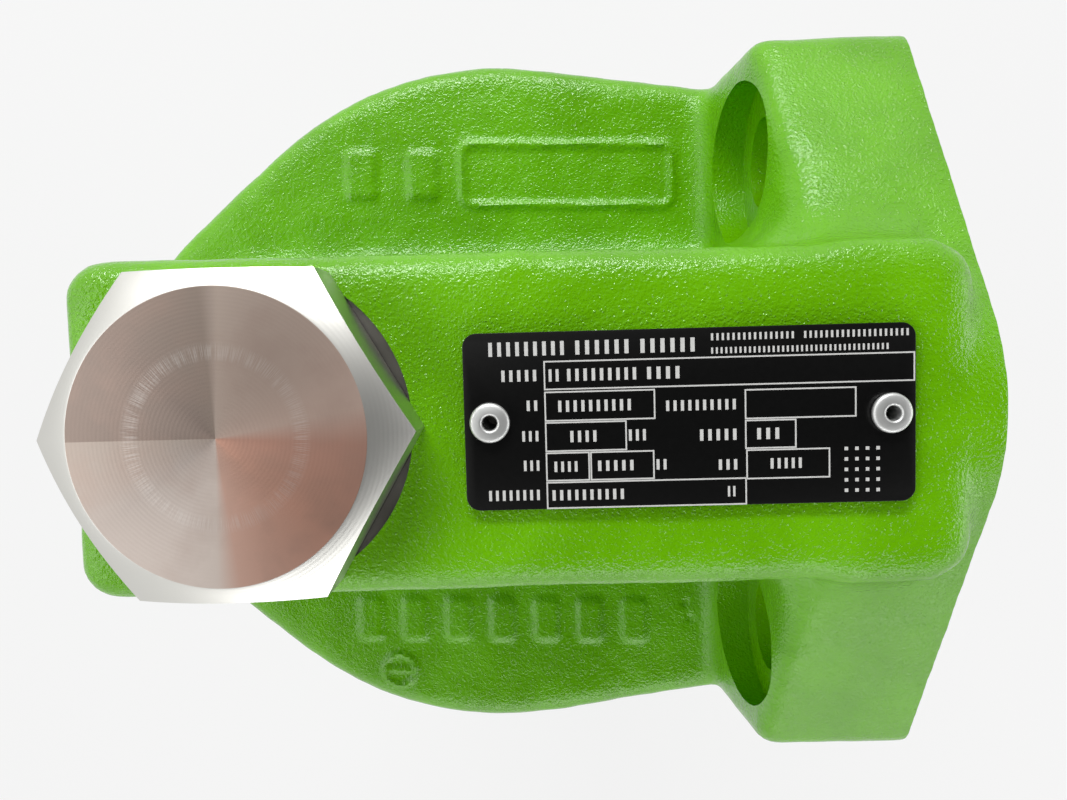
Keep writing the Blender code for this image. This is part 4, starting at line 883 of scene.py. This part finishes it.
def make_nameplate():
    """Black plate with raised light print and two rivet holes."""
    left, low = PLATE_X - PLATE_LENGTH / 2, PLATE_Y - PLATE_WIDTH / 2
    outline = rounded_rectangle(left, left + PLATE_LENGTH, low, low + PLATE_WIDTH, PLATE_CORNER_RADIUS, 8)
    shape = upright_prism(outline, PLATE_BOTTOM_Z, PLATE_TOP_Z)
    round_edges(shape, 0.0001, all_at(2, PLATE_TOP_Z), 2)
    plate = add_piece("printed_nameplate", shape, LACQUER, PRINT)
    for side in (-1, 1):
        x = PLATE_X + side * RIVET_SPACING / 2
        carve(plate, rod((x, PLATE_Y, PLATE_BOTTOM_Z - 0.001), (x, PLATE_Y, PLATE_TOP_Z + 0.001),
                         RIVET_HOLE_DIAMETER, 32), 1)
    strokes = gather([upright_prism([(left + a / 1000, low + c / 1000), (left + b / 1000, low + c / 1000),
                                     (left + b / 1000, low + d / 1000), (left + a / 1000, low + d / 1000)],
                                    PLATE_TOP_Z - PRINT_SINK, PLATE_TOP_Z + PRINT_HEIGHT)
                      for a, b, c, d in plate_print()])
    for face in strokes.faces:
        face.material_index = 1
    join_on(plate, strokes)
    plate.data.set_sharp_from_angle(angle=math.radians(30))
    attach(plate, "head")
    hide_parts("nameplate")


def make_rivet(name, node, side):
    """Hollow blind rivet: a rolled head round an open bore."""
    under, end = PLATE_TOP_Z + RIVET_LIFT, HEAD_TOP - RIVET_LENGTH
    bore, lip_radius = RIVET_BORE_RADIUS, RIVET_LIP_RADIUS
    roll = arc((RIVET_HEAD_RADIUS - RIVET_ROLL_RADIUS, under + RIVET_ROLL_RADIUS), RIVET_ROLL_RADIUS,
               -math.pi / 2, math.pi / 2, 8)
    lip = arc((bore + lip_radius, under + 0.00075), lip_radius, math.pi / 2, math.pi, 5)
    profile = [(RIVET_SHANK_RADIUS, end), (RIVET_SHANK_RADIUS, under)] + roll + lip + [(bore, end)]
    rivet = add_piece(name, turned(profile, PLATE_X + side * RIVET_SPACING / 2, 48, PLATE_Y), ALUMINIUM)
    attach(rivet, "head")
    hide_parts(node)


make_nameplate()
make_rivet("rolled_rivet_left", "rivet_left", -1)
make_rivet("rolled_rivet_right", "rivet_right", 1)


# The bowl

def make_bowl():
    """Pressure bowl with a cut thread, a seal groove, a round bottom and a wrench hexagon."""
    inner, outer, pilot, groove = BOWL_INNER_RADIUS, BOWL_OUTER_RADIUS, BOWL_PILOT_RADIUS, BOWL_GROOVE_RADIUS
    core = BOWL_THREAD_RADIUS - BOWL_THREAD_DEPTH
    thread_end = BOWL_PILOT_BOTTOM_Z - BOWL_THREAD_LENGTH
    profile = [(0, BOWL_FLOOR_Z)]
    profile += arc((inner - BOWL_FLOOR_RADIUS, BOWL_FLOOR_Z + BOWL_FLOOR_RADIUS), BOWL_FLOOR_RADIUS,
                   -math.pi / 2, 0, 8)
    profile += [(inner, BOWL_TOP_Z - 0.001), (inner + 0.001, BOWL_TOP_Z), (pilot - 0.001, BOWL_TOP_Z),
                (pilot, BOWL_TOP_Z - 0.001), (pilot, BOWL_GROOVE_TOP_Z), (groove, BOWL_GROOVE_TOP_Z),
                (groove, BOWL_GROOVE_BOTTOM_Z), (pilot, BOWL_GROOVE_BOTTOM_Z), (pilot, BOWL_PILOT_BOTTOM_Z),
                (core, BOWL_PILOT_BOTTOM_Z - (core - pilot)), (core, thread_end - 0.0005),
                (outer, thread_end - 0.001)]
    profile += arc((outer - BOWL_BOTTOM_RADIUS, BOWL_BOTTOM_Z + BOWL_BOTTOM_RADIUS), BOWL_BOTTOM_RADIUS,
                   0, -math.pi / 2, 14)
    profile += [(0, BOWL_BOTTOM_Z)]
    bowl = add_piece("painted_bowl", turned(profile, BELL_AXIS_X, 128), BOWL_PAINT, PLATED)
    nut = upright_prism(hexagon(BOWL_ACROSS_FLATS, BELL_AXIS_X), HEXAGON_BOTTOM_Z, BOWL_BOTTOM_Z + 0.003)
    round_edges(nut, 0.0008, lambda edge: True, 3)
    carve(bowl, nut, 0, "UNION")
    carve(bowl, rod((BELL_AXIS_X, 0, HEXAGON_BOTTOM_Z - OVERCUT), (BELL_AXIS_X, 0, BOWL_FLOOR_Z + OVERCUT),
                    DRAIN_HOLE_DIAMETER), 1)
    join_on(bowl, thread_ridge(BOWL_THREAD_RADIUS, BOWL_THREAD_DEPTH, thread_end + 0.0012, BOWL_THREAD_TURNS,
                               BELL_AXIS_X, 96))
    for face in bowl.data.polygons:
        if face.center.z > thread_end - 0.0008:
            face.material_index = 1
    bowl.data.shade_smooth()
    bowl.data.set_sharp_from_angle(angle=math.radians(32))
    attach(bowl, "bowl")
    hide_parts("filter_bowl")


make_bowl()


# Seals, and CAD nodes that keep their shape

def make_port_seal(name, node, z):
    """Face seal lying in its recess, drawn with a fine round section."""
    section = PORT_SEAL_DEPTH - SEAL_PLAY
    ring = PORT_SEAL_DIAMETER / 2 - section / 2 - SEAL_PLAY
    shape = turned(arc((ring, 0), section / 2, 0, math.tau * 23 / 24, 23), 0, 96)
    bmesh.ops.rotate(shape, verts=shape.verts, cent=(0, 0, 0), matrix=Matrix.Rotation(math.pi / 2, 3, "Y"))
    bmesh.ops.translate(shape, verts=shape.verts, vec=(-section / 2, 0, z))
    seal = add_piece(name, shape, RUBBER)
    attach(seal, "head")
    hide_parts(node)


make_port_seal("outlet_face_seal", "outlet_port_o_ring", OUTLET_Z)
make_port_seal("inlet_face_seal", "inlet_port_o_ring", -OUTLET_Z)

KEPT = {"plug_o_ring": RUBBER, "bowl_o_ring": RUBBER, "bowl_backup_ring": POLYMER, "drain_screw": PLATED,
        "drain_seal_ring": COPPER, "element_upper_cap": PLATED, "spigot_o_ring": RUBBER,
        "element_core_tube": PLATED, "element_pleats": FLEECE, "element_lower_cap": PLATED,
        "bypass_seat": PLATED, "bypass_poppet": PLATED, "bypass_spring": PLATED}
for node, finish in KEPT.items():
    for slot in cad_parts[node].material_slots:
        slot.material = finish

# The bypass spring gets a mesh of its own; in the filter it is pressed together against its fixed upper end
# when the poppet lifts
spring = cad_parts["bypass_spring"]
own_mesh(spring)


# Stage, light and camera

def add_stage():
    """A wide pale floor below the bowl. The camera and glossy rays see it near white."""
    finish, tree, place = new_finish("pale_floor")
    path = put(tree, "ShaderNodeLightPath")
    seen = put(tree, "ShaderNodeMath", {0: path.outputs["Is Camera Ray"], 1: path.outputs["Is Glossy Ray"]},
               operation="MAXIMUM")
    diffuse = put(tree, "ShaderNodeBsdfDiffuse", {"Color": linear("cccccc")})
    glow = put(tree, "ShaderNodeEmission", {"Color": linear("fdfdfd"), "Strength": 1.0})
    share = put(tree, "ShaderNodeMath", {0: seen.outputs[0], 1: FLOOR_GLOW}, operation="MULTIPLY")
    both = put(tree, "ShaderNodeMixShader", {0: share.outputs[0], 1: diffuse.outputs[0], 2: glow.outputs[0]})
    put(tree, "ShaderNodeOutputMaterial", {"Surface": both.outputs[0]})
    shape = bmesh.new()
    bmesh.ops.create_grid(shape, x_segments=1, y_segments=1, size=FLOOR_SIZE,
                          matrix=Matrix.Translation((0, 0, FLOOR_Z)))
    add_piece("floor", shape, finish)


def add_lamp(name, place, target, size, power):
    lamp = bpy.data.lights.new(name, "AREA")
    lamp.shape = "RECTANGLE"
    lamp.size, lamp.size_y = size
    lamp.energy = power
    body = bpy.data.objects.new(name, lamp)
    aim = Vector(target) - Vector(place)
    body.matrix_world = Matrix.Translation(place) @ aim.to_track_quat("-Z", "Y").to_matrix().to_4x4()
    bpy.context.collection.objects.link(body)


def add_world():
    """A room with bright walls and a dim ceiling, so that level paint shows its colour without haze."""
    world = bpy.data.worlds.new("studio")
    bpy.context.scene.world = world
    world.use_nodes = True
    tree = world.node_tree
    tree.nodes.clear()
    direction = put(tree, "ShaderNodeTexCoord").outputs["Generated"]
    towards = put(tree, "ShaderNodeVectorMath", {0: direction, 1: DARK_DIRECTION}, operation="DOT_PRODUCT")
    level = put(tree, "ShaderNodeMapRange", {"Value": towards.outputs["Value"], "From Min": 0.4,
                                             "From Max": 0.92, "To Min": WALL_LIGHT, "To Max": CEILING_LIGHT},
                interpolation_type="SMOOTHSTEP")
    air = put(tree, "ShaderNodeBackground", {"Color": linear("fbfbfa"), "Strength": level.outputs[0]})
    put(tree, "ShaderNodeOutputWorld", {"Surface": air.outputs[0]})


def add_camera():
    camera = bpy.data.cameras.new("camera")
    camera.sensor_width = CAMERA_SENSOR
    camera.lens = CAMERA_LENS
    camera.clip_start = 0.005
    body = bpy.data.objects.new("camera", camera)
    body.matrix_world = Matrix.Translation(CAMERA_PLACE) @ Matrix(CAMERA_ROWS).transposed().to_4x4()
    bpy.context.collection.objects.link(body)
    bpy.context.scene.camera = body


add_stage()
add_world()
for name, (place, target, size, power) in LAMPS.items():
    add_lamp(name, place, target, size, power)
add_camera()
bpy.context.scene.view_settings.view_transform = "Standard"
